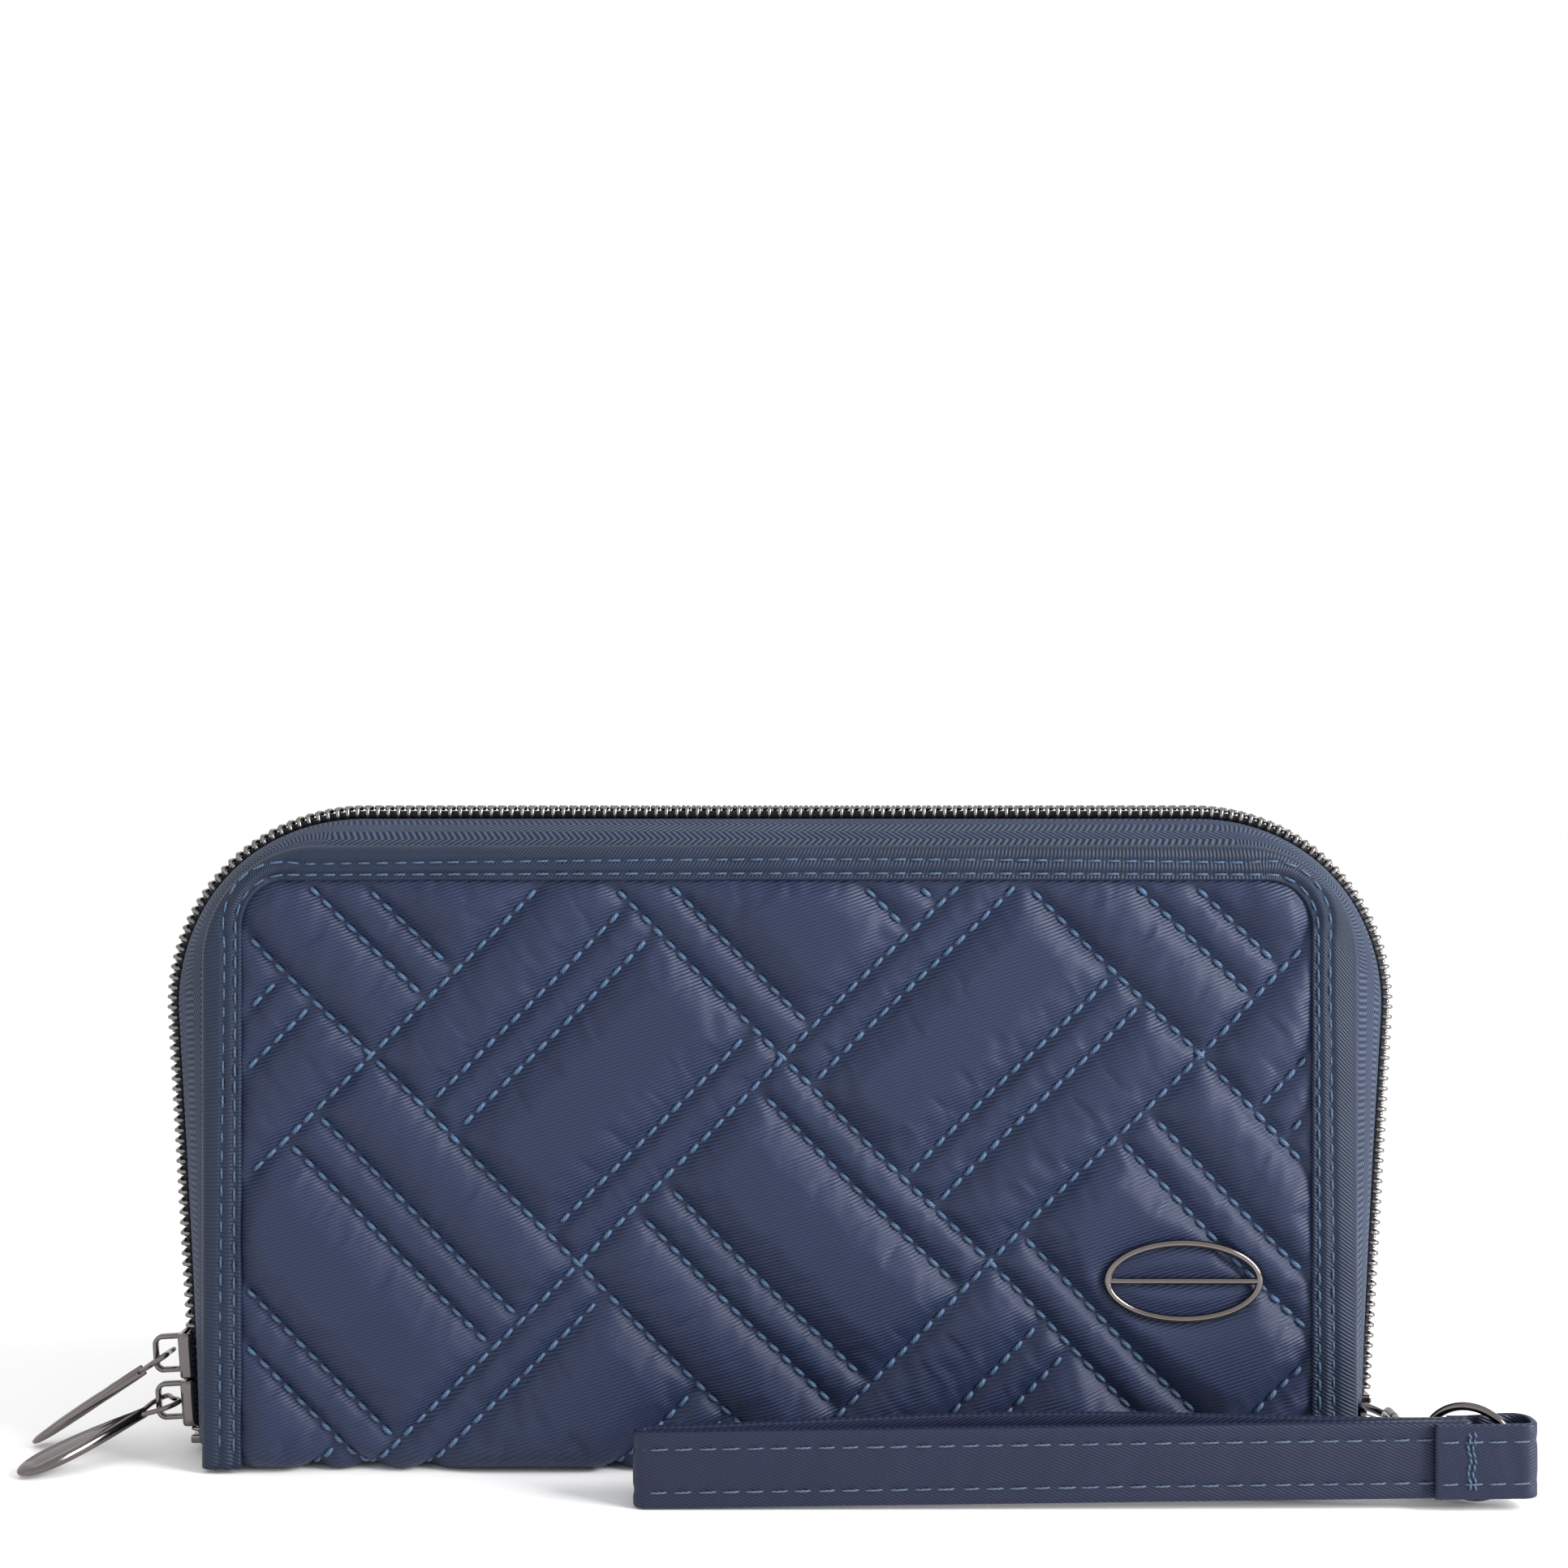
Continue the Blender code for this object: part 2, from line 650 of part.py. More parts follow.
def make_sliders():
    """Two sliders, one above the other at the left end, each with its bridge and pull."""
    out = SLIDER_PLAY + SLIDER_PLATE + GAP + PULL_PIVOT_OUT
    below = None
    for index, label in enumerate(("lower", "upper")):
        frame = slider_frame(LOWER_SLIDER_AT + index * SLIDER_SPACING)
        carrier = pivot(f"{label}_slider_pivot", frame, below)
        body, helpers = slider_body(f"{label}_slider")
        bridge = slider_bridge(f"{label}_slider_bridge")
        for obj in (body, bridge, *helpers):
            place_in(obj, frame, carrier)
        yaw, droop, side = (
            (LOWER_PULL_YAW, LOWER_PULL_DROOP, LOWER_PULL_SIDE)
            if label == "lower"
            else (UPPER_PULL_YAW, UPPER_PULL_DROOP, UPPER_PULL_SIDE)
        )
        at = pull_frame(frame, out, -side, yaw, droop)
        swing = pivot(f"{label}_pull_pivot", at, carrier)
        pull, parts = pull_body(
            f"{label}_pull", PULL_L, PULL_W, PULL_T, PULL_EYE_L, PULL_EYE_HALF_W, PULL_WIRE_R
        )
        for obj in (pull, *parts):
            place_in(obj, at, swing)
        below = carrier


# Inside


def make_pockets(side, label):
    """Stepped card pockets on a lining, tallest at the back."""
    made = []
    for tier in range(3):
        out = CARD_OUT - tier * (CARD_T + GAP)
        ys = sorted((side * out, side * (out - CARD_T)))
        top = CARD_TOP - tier * CARD_STEP
        low = (-CARD_W / 2, ys[0], CARD_FOOT)
        made.append(box(f"{label}_card_pocket_{tier + 1}", low, (CARD_W / 2, ys[1], top), "pocket"))
    return made


def make_window(side):
    """Clear window for a card, in front of the rear pockets."""
    out = CARD_OUT - 3 * (CARD_T + GAP)
    ys = sorted((side * out, side * (out - WINDOW_T)))
    left = CARD_W / 2 - WINDOW_W - 6 * MM
    return box(
        "id_window", (left, ys[0], CARD_FOOT), (left + WINDOW_W, ys[1], CARD_FOOT + WINDOW_H), "vinyl"
    )


def make_gusset(side, label):
    """Pleated end wall between the covers, folded inwards while the wallet is shut."""
    reach = CARD_OUT
    folds = 6
    line = []
    for i in range(folds + 1):
        y = -reach + 2 * reach * i / folds
        depth = GUSSET_PLEAT if i % 2 else 0
        line.append((side * (GUSSET_X - depth), y))
    rings = []
    for z in (SPINE_T + 2 * GAP + LINING_T, GUSSET_TOP):
        front = [(x, y, z) for x, y in line]
        back = [(x - side * GUSSET_T, y, z) for x, y in reversed(line)]
        rings.append(front + back)
    return loft(f"{label}_gusset", rings, "lining")


def bag_ring(x, inset, top):
    """Section of the coin pocket: upright sides that close to a narrow fold at the foot."""
    wide = LEAF_HALF_T - inset
    narrow = LEAF_FOLD_HALF - inset
    low = LEAF_FOOT + inset
    shoulder = LEAF_FOOT + LEAF_FOLD_H
    half_section = [(narrow, low), (wide, shoulder), (wide, top)]
    other = [(-y, z) for y, z in reversed(half_section)]
    return [(x, y, z) for y, z in half_section + other]


def make_leaf():
    """Coin pocket that stands between the covers: an open-topped bag, its zip and its slider."""
    hinge = pivot("coin_leaf_pivot", Matrix.Translation((0, 0, LEAF_HINGE_Z)))
    half = LEAF_W / 2
    bag = loft("coin_pocket", [bag_ring(-half, 0, LEAF_TOP), bag_ring(half, 0, LEAF_TOP)], "lining")
    end = half - LEAF_WALL
    over = LEAF_TOP + LEAF_WALL
    space = [bag_ring(-end, LEAF_WALL, over), bag_ring(end, LEAF_WALL, over)]
    inside = loft("coin_pocket_space", space, "lining", helper=True)
    combine(bag, [inside], "DIFFERENCE")
    made = [bag, inside]
    tape_low = LEAF_TOP + GAP
    tape_high = tape_low + TAPE_T
    chain_low = tape_high + GAP
    for side, label in ((-1, "front"), (1, "rear")):
        ys = sorted((side * LEAF_HALF_T, side * COIN_CHAIN_SPLIT))
        made.append(
            box(f"coin_zip_tape_{label}", (-half, ys[0], tape_low), (half, ys[1], tape_high), "tape")
        )
        ys = sorted((side * COIN_CHAIN_HALF_W, side * COIN_CHAIN_SPLIT))
        end = half - 6 * MM
        low = (-end, ys[0], chain_low)
        made.append(
            box(f"coin_zip_chain_{label}", low, (end, ys[1], chain_low + COIN_CHAIN_T), "coil")
        )
    for obj in made:
        hold(obj, hinge)
    make_coin_slider(hinge, tape_low, chain_low + COIN_CHAIN_T)


def make_coin_slider(leaf, tape_low, chain_top):
    """Small slider on the coin pocket's zip, with its pull lying down the pocket's front."""
    x = COIN_SLIDER_X
    half = COIN_SLIDER_L / 2
    carrier = pivot("coin_slider_pivot", Matrix.Translation((x, 0, chain_top)), leaf)
    top = (chain_top + SLIDER_PLAY, chain_top + SLIDER_PLAY + SLIDER_PLATE)
    under = tape_low - SLIDER_PLAY
    width = COIN_CHAIN_HALF_W + 0.9 * MM
    body = box("coin_slider", (x - half, -width, top[0]), (x + half, width, top[1]), "gunmetal")
    lower = box(
        "coin_slider_inner",
        (x - half, -1.6 * MM, under - 0.7 * MM),
        (x + half, 1.6 * MM, under),
        "gunmetal",
        helper=True,
    )
    thin = COIN_CHAIN_SPLIT - 0.2 * MM
    post = box(
        "coin_slider_post",
        (x + half - 2.2 * MM, -thin, under - 0.4 * MM),
        (x + half - 0.5 * MM, thin, top[0] + 0.4 * MM),
        "gunmetal",
        helper=True,
    )
    bail_r = 0.35 * MM
    rise = top[1] + 1.5 * MM
    bail = tube(
        "coin_slider_bail",
        [(x - 2 * MM, 0, top[0] + bail_r), (x - 2 * MM, 0, rise), (x + 2 * MM, 0, rise), (x + 2 * MM, 0, top[0] + bail_r)],
        bail_r,
        "gunmetal",
        helper=True,
    )
    combine(body, [lower, post, bail], "UNION")
    for obj in (body, lower, post, bail):
        hold(obj, carrier)
    ring_r = 0.35 * MM
    at = Matrix.Translation((x, 0, top[1] + 0.75 * MM)) @ Matrix.Rotation(math.radians(180), 4, "Z")
    swing = pivot("coin_pull_pivot", at, carrier)
    pull, parts = pull_body("coin_pull", COIN_PULL_L, 4.0 * MM, 1.0 * MM, 3.4 * MM, 1.3 * MM, ring_r)
    for obj in (pull, *parts):
        place_in(obj, at, swing)


# Badge


def make_badge():
    """Plain oval ring with a bar across it."""
    face = FRONT_Y - BADGE_GAP - BADGE_WIRE
    half_w = BADGE_W / 2
    half_h = BADGE_H / 2
    oval = []
    steps = 28
    for i in range(steps):
        angle = 2 * math.pi * i / steps
        oval.append((BADGE_X + half_w * math.cos(angle), face, BADGE_Z + half_h * math.sin(angle)))
    badge = tube("badge", oval, BADGE_WIRE, "gunmetal", cyclic=True)
    bar = tube(
        "badge_bar",
        [(BADGE_X - half_w, face, BADGE_Z), (BADGE_X + half_w, face, BADGE_Z)],
        BADGE_WIRE,
        "gunmetal",
        helper=True,
    )
    combine(badge, [bar], "UNION")
    return round_smooth(badge)


# Wristlet hardware


def clasp_frame():
    return Matrix.Translation((CLASP_X, 0, CLASP_Z))


def make_tab():
    """Fabric loop below the zip's right end, from the gusset round the D-ring's bar."""
    inner = DRING_WIRE_R + GAP
    outer = inner + TAB_T
    start = GUSSET_X + GAP
    cx, cz = DRING_BAR_X, TAB_Z
    outline = [(start, cz - outer)]
    outline += arc((cx, cz), outer, -90, 90, 8)
    outline.append((start, cz + outer))
    tab = plate("ring_tab", outline, TAB_Y - TAB_W / 2, TAB_Y + TAB_W / 2, "strap")
    margin = 1 * MM
    hole = cylinder(
        "ring_tab_hole",
        (cx, TAB_Y - TAB_W / 2 - margin, cz),
        (cx, TAB_Y + TAB_W / 2 + margin, cz),
        inner,
        "strap",
        helper=True,
    )
    combine(tab, [hole], "DIFFERENCE")
    return tab


def make_d_ring():
    """D-ring whose straight bar is in the tab and whose bow slopes down to the surface."""
    frame = Matrix.Translation((DRING_BAR_X, TAB_Y, TAB_Z)) @ Matrix.Rotation(math.radians(DRING_DROOP), 4, "Y")
    line = [(0, DRING_HALF_W, 0), (0, -DRING_HALF_W, 0)]
    line += [(x, y, 0) for x, y in arc((DRING_LEG, 0), DRING_HALF_W, -90, 90, 12)]
    ring = tube("d_ring", line, DRING_WIRE_R, "gunmetal", cyclic=True)
    swing = pivot("d_ring_pivot", frame)
    place_in(round_smooth(ring), frame, swing)
    return swing


def make_clasp(d_ring):
    """Swivel hook: hook and barrel, its sprung gate, and the eye that turns in the barrel."""
    wire = HOOK_WIRE_R
    barrel_front = HOOK_TIP_Y - HOOK_L
    barrel_back = barrel_front - BARREL_L
    middle = HOOK_TIP_Y - HOOK_L / 2
    half_h = HOOK_H / 2 - wire
    z = CLASP_Z
    swing = pivot("clasp_pivot", Matrix.Translation((CLASP_X, HOOK_TIP_Y - wire - half_h, z)), d_ring)
    bow = [(barrel_front - 1 * MM, z - half_h * 0.55), (barrel_front + 1.2 * MM, z - half_h)]
    bow.append((middle, z - half_h))
    bend_y = HOOK_TIP_Y - wire - half_h
    bow += arc((bend_y, z), half_h, -90, 90, 8)
    bow.append((bend_y - HOOK_BEAK, z + half_h))
    hook = tube("clasp_hook", [(CLASP_X, y, h) for y, h in bow], wire, "gunmetal", sides=2)
    barrel = cylinder(
        "clasp_barrel",
        (CLASP_X, barrel_back, z),
        (CLASP_X, barrel_front, z),
        BARREL_R,
        "gunmetal",
        helper=True,
    )
    gate_y = barrel_front + 1.2 * MM
    gate_z = z + half_h
    slot = GATE_R + EAR_PLAY
    wide = slot + EAR_T
    ear_top = gate_z + GATE_PIN_R + EAR_T
    ears = box(
        "clasp_ears",
        (CLASP_X - wide, barrel_front - BARREL_R, z - half_h),
        (CLASP_X + wide, gate_y + GATE_PIN_R + EAR_T, ear_top),
        "gunmetal",
        helper=True,
    )
    slot_cut = box(
        "clasp_slot",
        (CLASP_X - slot, barrel_front - BARREL_R - EAR_T, z + half_h - GATE_R - EAR_T),
        (CLASP_X + slot, gate_y + GATE_PIN_R + 2 * EAR_T, ear_top + EAR_T),
        "gunmetal",
        helper=True,
    )
    combine(hook, [barrel, ears], "UNION")
    combine(hook, [slot_cut], "DIFFERENCE")
    bore = cylinder(
        "clasp_bore",
        (CLASP_X, barrel_back - 1 * MM, z),
        (CLASP_X, barrel_back + 3.4 * MM, z),
        STEM_R + 0.1 * MM,
        "gunmetal",
        helper=True,
    )
    seat = cylinder(
        "clasp_seat",
        (CLASP_X, barrel_back + 1.4 * MM, z),
        (CLASP_X, barrel_back + 3.4 * MM, z),
        STEM_HEAD_R + 0.15 * MM,
        "gunmetal",
        helper=True,
    )
    combine(hook, [bore, seat], "DIFFERENCE")
    pin_ends = ((CLASP_X - wide, gate_y, gate_z), (CLASP_X + wide, gate_y, gate_z))
    pin = cylinder("clasp_gate_pin", *pin_ends, GATE_PIN_R, "gunmetal", helper=True, segments=12)
    combine(hook, [pin], "UNION")
    for obj in (hook, barrel, ears, slot_cut, bore, seat, pin):
        hold(obj, swing)

    gate_pivot = pivot("clasp_gate_pivot", Matrix.Translation((CLASP_X, gate_y, gate_z)), swing)
    reach = bend_y - HOOK_BEAK - GAP
    tail = (CLASP_X, gate_y - GATE_TAIL, gate_z + GATE_R)
    gate_line = [tail, (CLASP_X, gate_y, gate_z), (CLASP_X, reach, gate_z)]
    gate = tube("clasp_gate", gate_line, GATE_R, "gunmetal")
    gate_hole = cylinder(
        "clasp_gate_hole", *pin_ends, GATE_PIN_R + GATE_PIN_PLAY, "gunmetal", helper=True, segments=12
    )
    combine(gate, [gate_hole], "DIFFERENCE")
    for obj in (gate, gate_hole):
        hold(obj, gate_pivot)

    turn = pivot("swivel_pivot", Matrix.Translation((CLASP_X, barrel_back, z)), swing)
    stem_front = EYE_Y + EYE_R - EYE_WIRE_R * 0.4
    stem_end = barrel_back + 3.2 * MM
    stem = cylinder(
        "swivel_eye", (CLASP_X, stem_front, z), (CLASP_X, stem_end, z), STEM_R, "gunmetal", segments=16
    )
    head = cylinder(
        "swivel_head",
        (CLASP_X, barrel_back + 1.7 * MM, z),
        (CLASP_X, stem_end, z),
        STEM_HEAD_R,
        "gunmetal",
        helper=True,
        segments=16,
    )
    circle = [(x, y, z) for x, y in arc((CLASP_X, EYE_Y), EYE_R, 0, 360 - 360 / 20, 19)]
    loop = tube("swivel_loop", circle, EYE_WIRE_R, "gunmetal", cyclic=True, helper=True)
    combine(stem, [head, loop], "UNION")
    for obj in (stem, head, loop):
        hold(obj, turn)
    return turn


def ring_places():
    """Centre of the strap ring and of its wire inside the strap's fold. It stands on the surface."""
    height = RING_R + RING_WIRE_R
    drop = height - CLASP_Z
    reach = math.sqrt(RING_R**2 - drop**2)
    way = Vector((math.cos(math.radians(RING_YAW)), -math.sin(math.radians(RING_YAW)), 0))
    centre = Vector((CLASP_X, EYE_Y, height)) + way * reach
    return centre, way, centre + way * RING_R


def make_strap_ring(swivel):
    centre, way, _ = ring_places()
    places = []
    steps = 28
    for i in range(steps):
        angle = 2 * math.pi * i / steps
        places.append(centre + way * (RING_R * math.cos(angle)) + Vector((0, 0, RING_R * math.sin(angle))))
    ring = tube("strap_ring", places, RING_WIRE_R, "gunmetal", cyclic=True)
    swing = pivot("strap_ring_pivot", Matrix.Translation((CLASP_X, EYE_Y, CLASP_Z)), swivel)
    hold(round_smooth(ring), swing)
    return swing


def strap_front():
    """Centre line of the strap's front layer in plan: the ring's wire lies just behind it."""
    _, _, fold = ring_places()
    return fold.y - STRAP_FRONT_OFF


def strap_foot(x):
    """Height of the strap's lower edge: the ring lifts the strap's right end off the surface."""
    _, _, fold = ring_places()
    share = (x - STRAP_LEFT_X) / (fold.x - STRAP_LEFT_X)
    return STRAP_LIFT * min(max(share, 0), 1)


def ribbon(name, line, thickness, height, material):
    """An upright band along a line of (x, y) points, its middle level with the strap's."""
    rings = []
    for i, point in enumerate(line):
        before = Vector(line[max(i - 1, 0)])
        after = Vector(line[min(i + 1, len(line) - 1)])
        along = (after - before).normalized()
        side = Vector((-along.y, along.x)) * (thickness / 2)
        foot = strap_foot(point[0]) + (STRAP_H - height) / 2
        left = Vector(point) + side
        right = Vector(point) - side
        rings.append(
            [(*left, foot), (*right, foot), (*right, foot + height), (*left, foot + height)]
        )
    return loft(name, rings, material)


def rear_layer(share):
    """How far the loop's rear layer stands off its sewn place, over its loose length."""
    return STRAP_BULGE * math.sin(math.pi * share) ** 1.5


def strap_line():
    """Centre line of the wrist loop in plan: along the front, round the fold and back behind."""
    _, _, fold = ring_places()
    end = fold.x - FOLD_ROOM
    front = strap_front()
    turn = STRAP_LEFT_X + STRAP_FOLD_R + STRAP_T / 2
    sewn = fold.x - WRAP_L - SEWN_GAP
    line = [(end, front), (turn, front)]
    line += arc((turn, front + STRAP_FOLD_R), STRAP_FOLD_R, -90, -270, 8)[1:]
    start_y = front + 2 * STRAP_FOLD_R
    end_y = front + STRAP_T + GAP
    steps = 14
    for i in range(1, steps + 1):
        share = i / steps
        line.append((turn + (sewn - turn) * share, start_y + (end_y - start_y) * share + rear_layer(share)))
    line.append((end, end_y))
    return line


def wrap_line():
    """Centre line of the strap's end, folded round the ring and sewn over both layers."""
    _, _, fold = ring_places()
    front = strap_front() - STRAP_T / 2 - GAP - WRAP_T / 2
    back = strap_front() + STRAP_T * 1.5 + 2 * GAP + WRAP_T / 2
    left = fold.x - WRAP_L
    tip = fold.x + FOLD_R
    line = [(left, front), (tip - 1.9 * MM, front), (tip - 0.7 * MM, front + 0.5 * MM)]
    line += [(tip, front + 1.6 * MM), (tip, back - 0.6 * MM), (tip - 1.0 * MM, back + 0.8 * MM)]
    line += [(tip - 2.8 * MM, back + 1.2 * MM), (tip - 6.5 * MM, back + 0.6 * MM)]
    line += [(fold.x - FOLD_ROOM, back), (fold.x - WRAP_BACK_L, back)]
    return line


def make_strap(ring):
    _, _, fold = ring_places()
    swing = pivot("strap_pivot", Matrix.Translation(fold), ring)
    hold(ribbon("strap_loop", strap_line(), STRAP_T, STRAP_H, "strap"), swing)
    hold(ribbon("strap_end_wrap", wrap_line(), WRAP_T, WRAP_H, "strap"), swing)


def main():
    make_spine()
    make_cover(-1, "front")
    make_pockets(-1, "front")
    rear = make_cover(1, "rear")
    rear += make_pockets(1, "rear")
    rear.append(make_window(1))
    rear += make_zip()
    hinge = pivot("rear_cover_pivot", Matrix.Translation((0, HINGE_Y, HINGE_Z)))
    for obj in rear:
        hold(obj, hinge)
    for side, label in ((-1, "left"), (1, "right")):
        make_gusset(side, label)
    make_leaf()
    make_badge()
    make_sliders()
    make_tab()
    swivel = make_clasp(make_d_ring())
    make_strap(make_strap_ring(swivel))


main()
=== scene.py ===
"""Looks of the quilted wristlet wallet, made round its CAD frame: metres, +Z up, front face towards -Y.

Fabric shapes are worked out in millimetres on flat patterns, and then laid on the wallet.
"""

import json
import math

import bmesh
import bpy
import numpy as np
from mathutils import Matrix, Vector


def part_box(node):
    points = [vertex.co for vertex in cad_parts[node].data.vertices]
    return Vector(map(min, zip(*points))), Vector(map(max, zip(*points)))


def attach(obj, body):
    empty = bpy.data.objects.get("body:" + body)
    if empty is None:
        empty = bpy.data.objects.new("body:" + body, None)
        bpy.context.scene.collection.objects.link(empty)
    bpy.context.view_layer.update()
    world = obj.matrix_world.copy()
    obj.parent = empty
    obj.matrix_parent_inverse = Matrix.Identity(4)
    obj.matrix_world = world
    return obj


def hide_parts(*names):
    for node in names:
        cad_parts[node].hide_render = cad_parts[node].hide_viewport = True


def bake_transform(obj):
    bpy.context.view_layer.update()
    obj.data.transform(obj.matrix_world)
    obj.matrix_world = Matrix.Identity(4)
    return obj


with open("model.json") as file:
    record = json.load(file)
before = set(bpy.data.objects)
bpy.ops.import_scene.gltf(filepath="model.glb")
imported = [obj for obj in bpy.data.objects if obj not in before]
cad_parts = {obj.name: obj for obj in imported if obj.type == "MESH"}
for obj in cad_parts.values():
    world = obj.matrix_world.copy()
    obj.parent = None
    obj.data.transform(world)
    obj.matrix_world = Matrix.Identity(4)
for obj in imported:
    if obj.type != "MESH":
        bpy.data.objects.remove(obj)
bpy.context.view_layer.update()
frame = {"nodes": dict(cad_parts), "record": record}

MM = 0.001
ROOT2 = math.sqrt(2)
BINDING_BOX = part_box("front_binding")
HALF_W = BINDING_BOX[1].x / MM
PANEL_H = BINDING_BOX[1].z / MM
BINDING_Y = -BINDING_BOX[0].y / MM
BINDING_BACK = -BINDING_BOX[1].y / MM
LINING_Y = -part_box("front_lining")[0].y / MM

# Binding: its width differs round the cover, as it was sewn.
CORNER_R = 20.0
INNER_R = 8.0
BAND_LEFT = 7.1
BAND_TOP = 6.1
BAND_RIGHT = 8.2
BAND_FOOT = 0.7
BAND_ROWS = (1.3, 3.7)

# Quilt pattern, on axes turned by 45 degrees: a basket weave of square cells with three seams each.
PERIOD = 50.35
U_START = 0.55
V_START = -0.3
ODD_SEAMS = (7.0, 30.2, 37.0)
EVEN_SEAMS = (13.3, 20.3, 43.5)
SEAM_HALF = 0.42
SEAM_DEPTH = 0.55
LINE_STEP = 0.92
VALLEY_Y = 14.3
VALLEY_Z = 0.95
FOLD_R = 3.0
QUILT_T = 1.6
QUILT_INSET = 4.6
QUILT_R = 10.0

# Simulation of the quilted cloth, on a coarser lattice
SWELL_STEP = 1.7
SWELL_FRAMES = 20
SWELL_CAP = 1.2
START_SHARE = 0.8
PRESSURE = 4.0
SPARE_CLOTH = 0.03

# Zip
CHAIN_BASE_OUT = 4.9
CHAIN_LEAN = 0.0575
CHAIN_TOP_OUT = 6.8
CHAIN_CORNER_R = 35.0
CHAIN_FOOT_Z = 3.2
RIGHT_FOOT_Z = 10.2
TOOTH_PITCH = 1.82
TOOTH_R = 0.39

# Thread
QUILT_PITCH = 3.0
QUILT_STITCH = 2.35
EDGE_PITCH = 3.05
EDGE_STITCH = 2.3
STRAP_PITCH = 3.9
STRAP_STITCH = 3.0
INNER_PITCH = 2.6
INNER_STITCH = 1.9
INNER_THREAD = 0.14


# Materials


def new_material(name, colour, roughness, metallic=0.0):
    material = bpy.data.materials.new(name)
    material.use_nodes = True
    shader = material.node_tree.nodes["Principled BSDF"]
    shader.inputs["Base Color"].default_value = (*colour, 1)
    shader.inputs["Roughness"].default_value = roughness
    shader.inputs["Metallic"].default_value = metallic
    return material, material.node_tree, shader


def add_node(tree, kind, inputs=None, **settings):
    node = tree.nodes.new(kind)
    for key, value in settings.items():
        setattr(node, key, value)
    for key, value in (inputs or {}).items():
        socket = node.inputs[key]
        if isinstance(value, bpy.types.NodeSocket):
            tree.links.new(value, socket)
        else:
            socket.default_value = value
    return node


def wave(tree, vector, turn, pitch, distortion=0.0):
    """Ribs of a given pitch in millimetres, their direction turned in the cloth's plane."""
    turned = add_node(
        tree, "ShaderNodeMapping", {"Vector": vector, "Rotation": (0, 0, math.radians(turn))}
    )
    ribs = add_node(
        tree,
        "ShaderNodeTexWave",
        {"Vector": turned.outputs[0], "Scale": 0.31416 / pitch, "Distortion": distortion, "Detail": 1.0},
        bands_direction="Y",
    )
    return ribs.outputs["Fac"]


def maths(tree, operation, first, second):
    return add_node(tree, "ShaderNodeMath", {0: first, 1: second}, operation=operation).outputs[0]


def mix_colour(tree, factor, first, second):
    node = add_node(tree, "ShaderNodeMix", {"Factor": factor}, data_type="RGBA")
    for socket, value in ((node.inputs[6], first), (node.inputs[7], second)):
        if isinstance(value, bpy.types.NodeSocket):
            tree.links.new(value, socket)
        else:
            socket.default_value = (*value, 1)
    return node.outputs[2]


def spread(tree, value, low, high):
    """value, from 0 to 1, as a number from low to high."""
    return add_node(
        tree, "ShaderNodeMapRange", {"Value": value, "To Min": low, "To Max": high}
    ).outputs[0]


def noise(tree, place, scale, detail, roughness=0.5):
    inputs = {"Vector": place, "Scale": scale, "Detail": detail, "Roughness": roughness}
    return add_node(tree, "ShaderNodeTexNoise", inputs).outputs["Fac"]


def emboss(tree, shader, height, strength, depth):
    """Relief of a depth in millimetres."""
    inputs = {"Height": height, "Strength": strength, "Distance": depth * MM}
    tree.links.new(add_node(tree, "ShaderNodeBump", inputs).outputs[0], shader.inputs["Normal"])


def cloth(name, dark, light, roughness, pitch, turn, depth, sheen=0.2, kind="twill", groove_shade_level=0.2):
    """Woven cloth. Its pattern runs on the piece's own flat coordinates, which are in millimetres."""
    material, tree, shader = new_material(name, dark, roughness)
    flat = add_node(tree, "ShaderNodeAttribute", attribute_name="weave").outputs["Vector"]
    if kind == "herringbone":
        rows = add_node(tree, "ShaderNodeSeparateXYZ", {0: flat}).outputs[1]
        phase = maths(tree, "FRACT", maths(tree, "DIVIDE", rows, 4.8), 0.0)
        side = maths(tree, "GREATER_THAN", phase, 0.5)
        first = wave(tree, flat, turn, pitch)
        second = wave(tree, flat, -turn, pitch)
        height = add_node(tree, "ShaderNodeMix", {0: side, 2: first, 3: second}).outputs[0]
    else:
        height = wave(tree, flat, turn, pitch, 0.25)
        if kind == "plain":
            other = wave(tree, flat, turn + 90, pitch, 0.2)
            height = maths(tree, "MULTIPLY", height, other)
    threads = noise(tree, flat, 1.7, 3.0, 0.6)
    cloud = noise(tree, flat, 0.06, 2.0)
    # Colour: painted shade in the rib grooves and painted light on the rib crests, taken from the rib height,
    # times random thread tone and broad random tone.
    blend = maths(tree, "MULTIPLY", spread(tree, height, groove_shade_level, 1.0), spread(tree, threads, 0.55, 1.25))
    blend = maths(tree, "MULTIPLY", blend, spread(tree, cloud, 0.75, 1.25))
    tree.links.new(mix_colour(tree, blend, dark, light), shader.inputs["Base Color"])
    rough = spread(tree, threads, roughness - 0.08, roughness + 0.1)
    tree.links.new(rough, shader.inputs["Roughness"])
    relief = maths(tree, "ADD", height, maths(tree, "MULTIPLY", threads, 0.5))
    emboss(tree, shader, relief, 0.6, depth)
    shader.inputs["Sheen Weight"].default_value = sheen
    shader.inputs["Sheen Roughness"].default_value = 0.45
    shader.inputs["Sheen Tint"].default_value = (0.5, 0.6, 0.85, 1)
    shader.inputs["Specular IOR Level"].default_value = 0.28
    return material


def thread_material(name, colour):
    """Two-ply thread: its twist runs slantwise over each stitch."""
    # Darker and lighter copies of the colour: painted shade in the grooves of the twist and painted light on
    # its crests, with random thread tone.
    dark = tuple(0.55 * c for c in colour)
    return cloth(name, dark, tuple(1.35 * c for c in colour), 0.5, 0.55, 38, 0.05, 0.1)


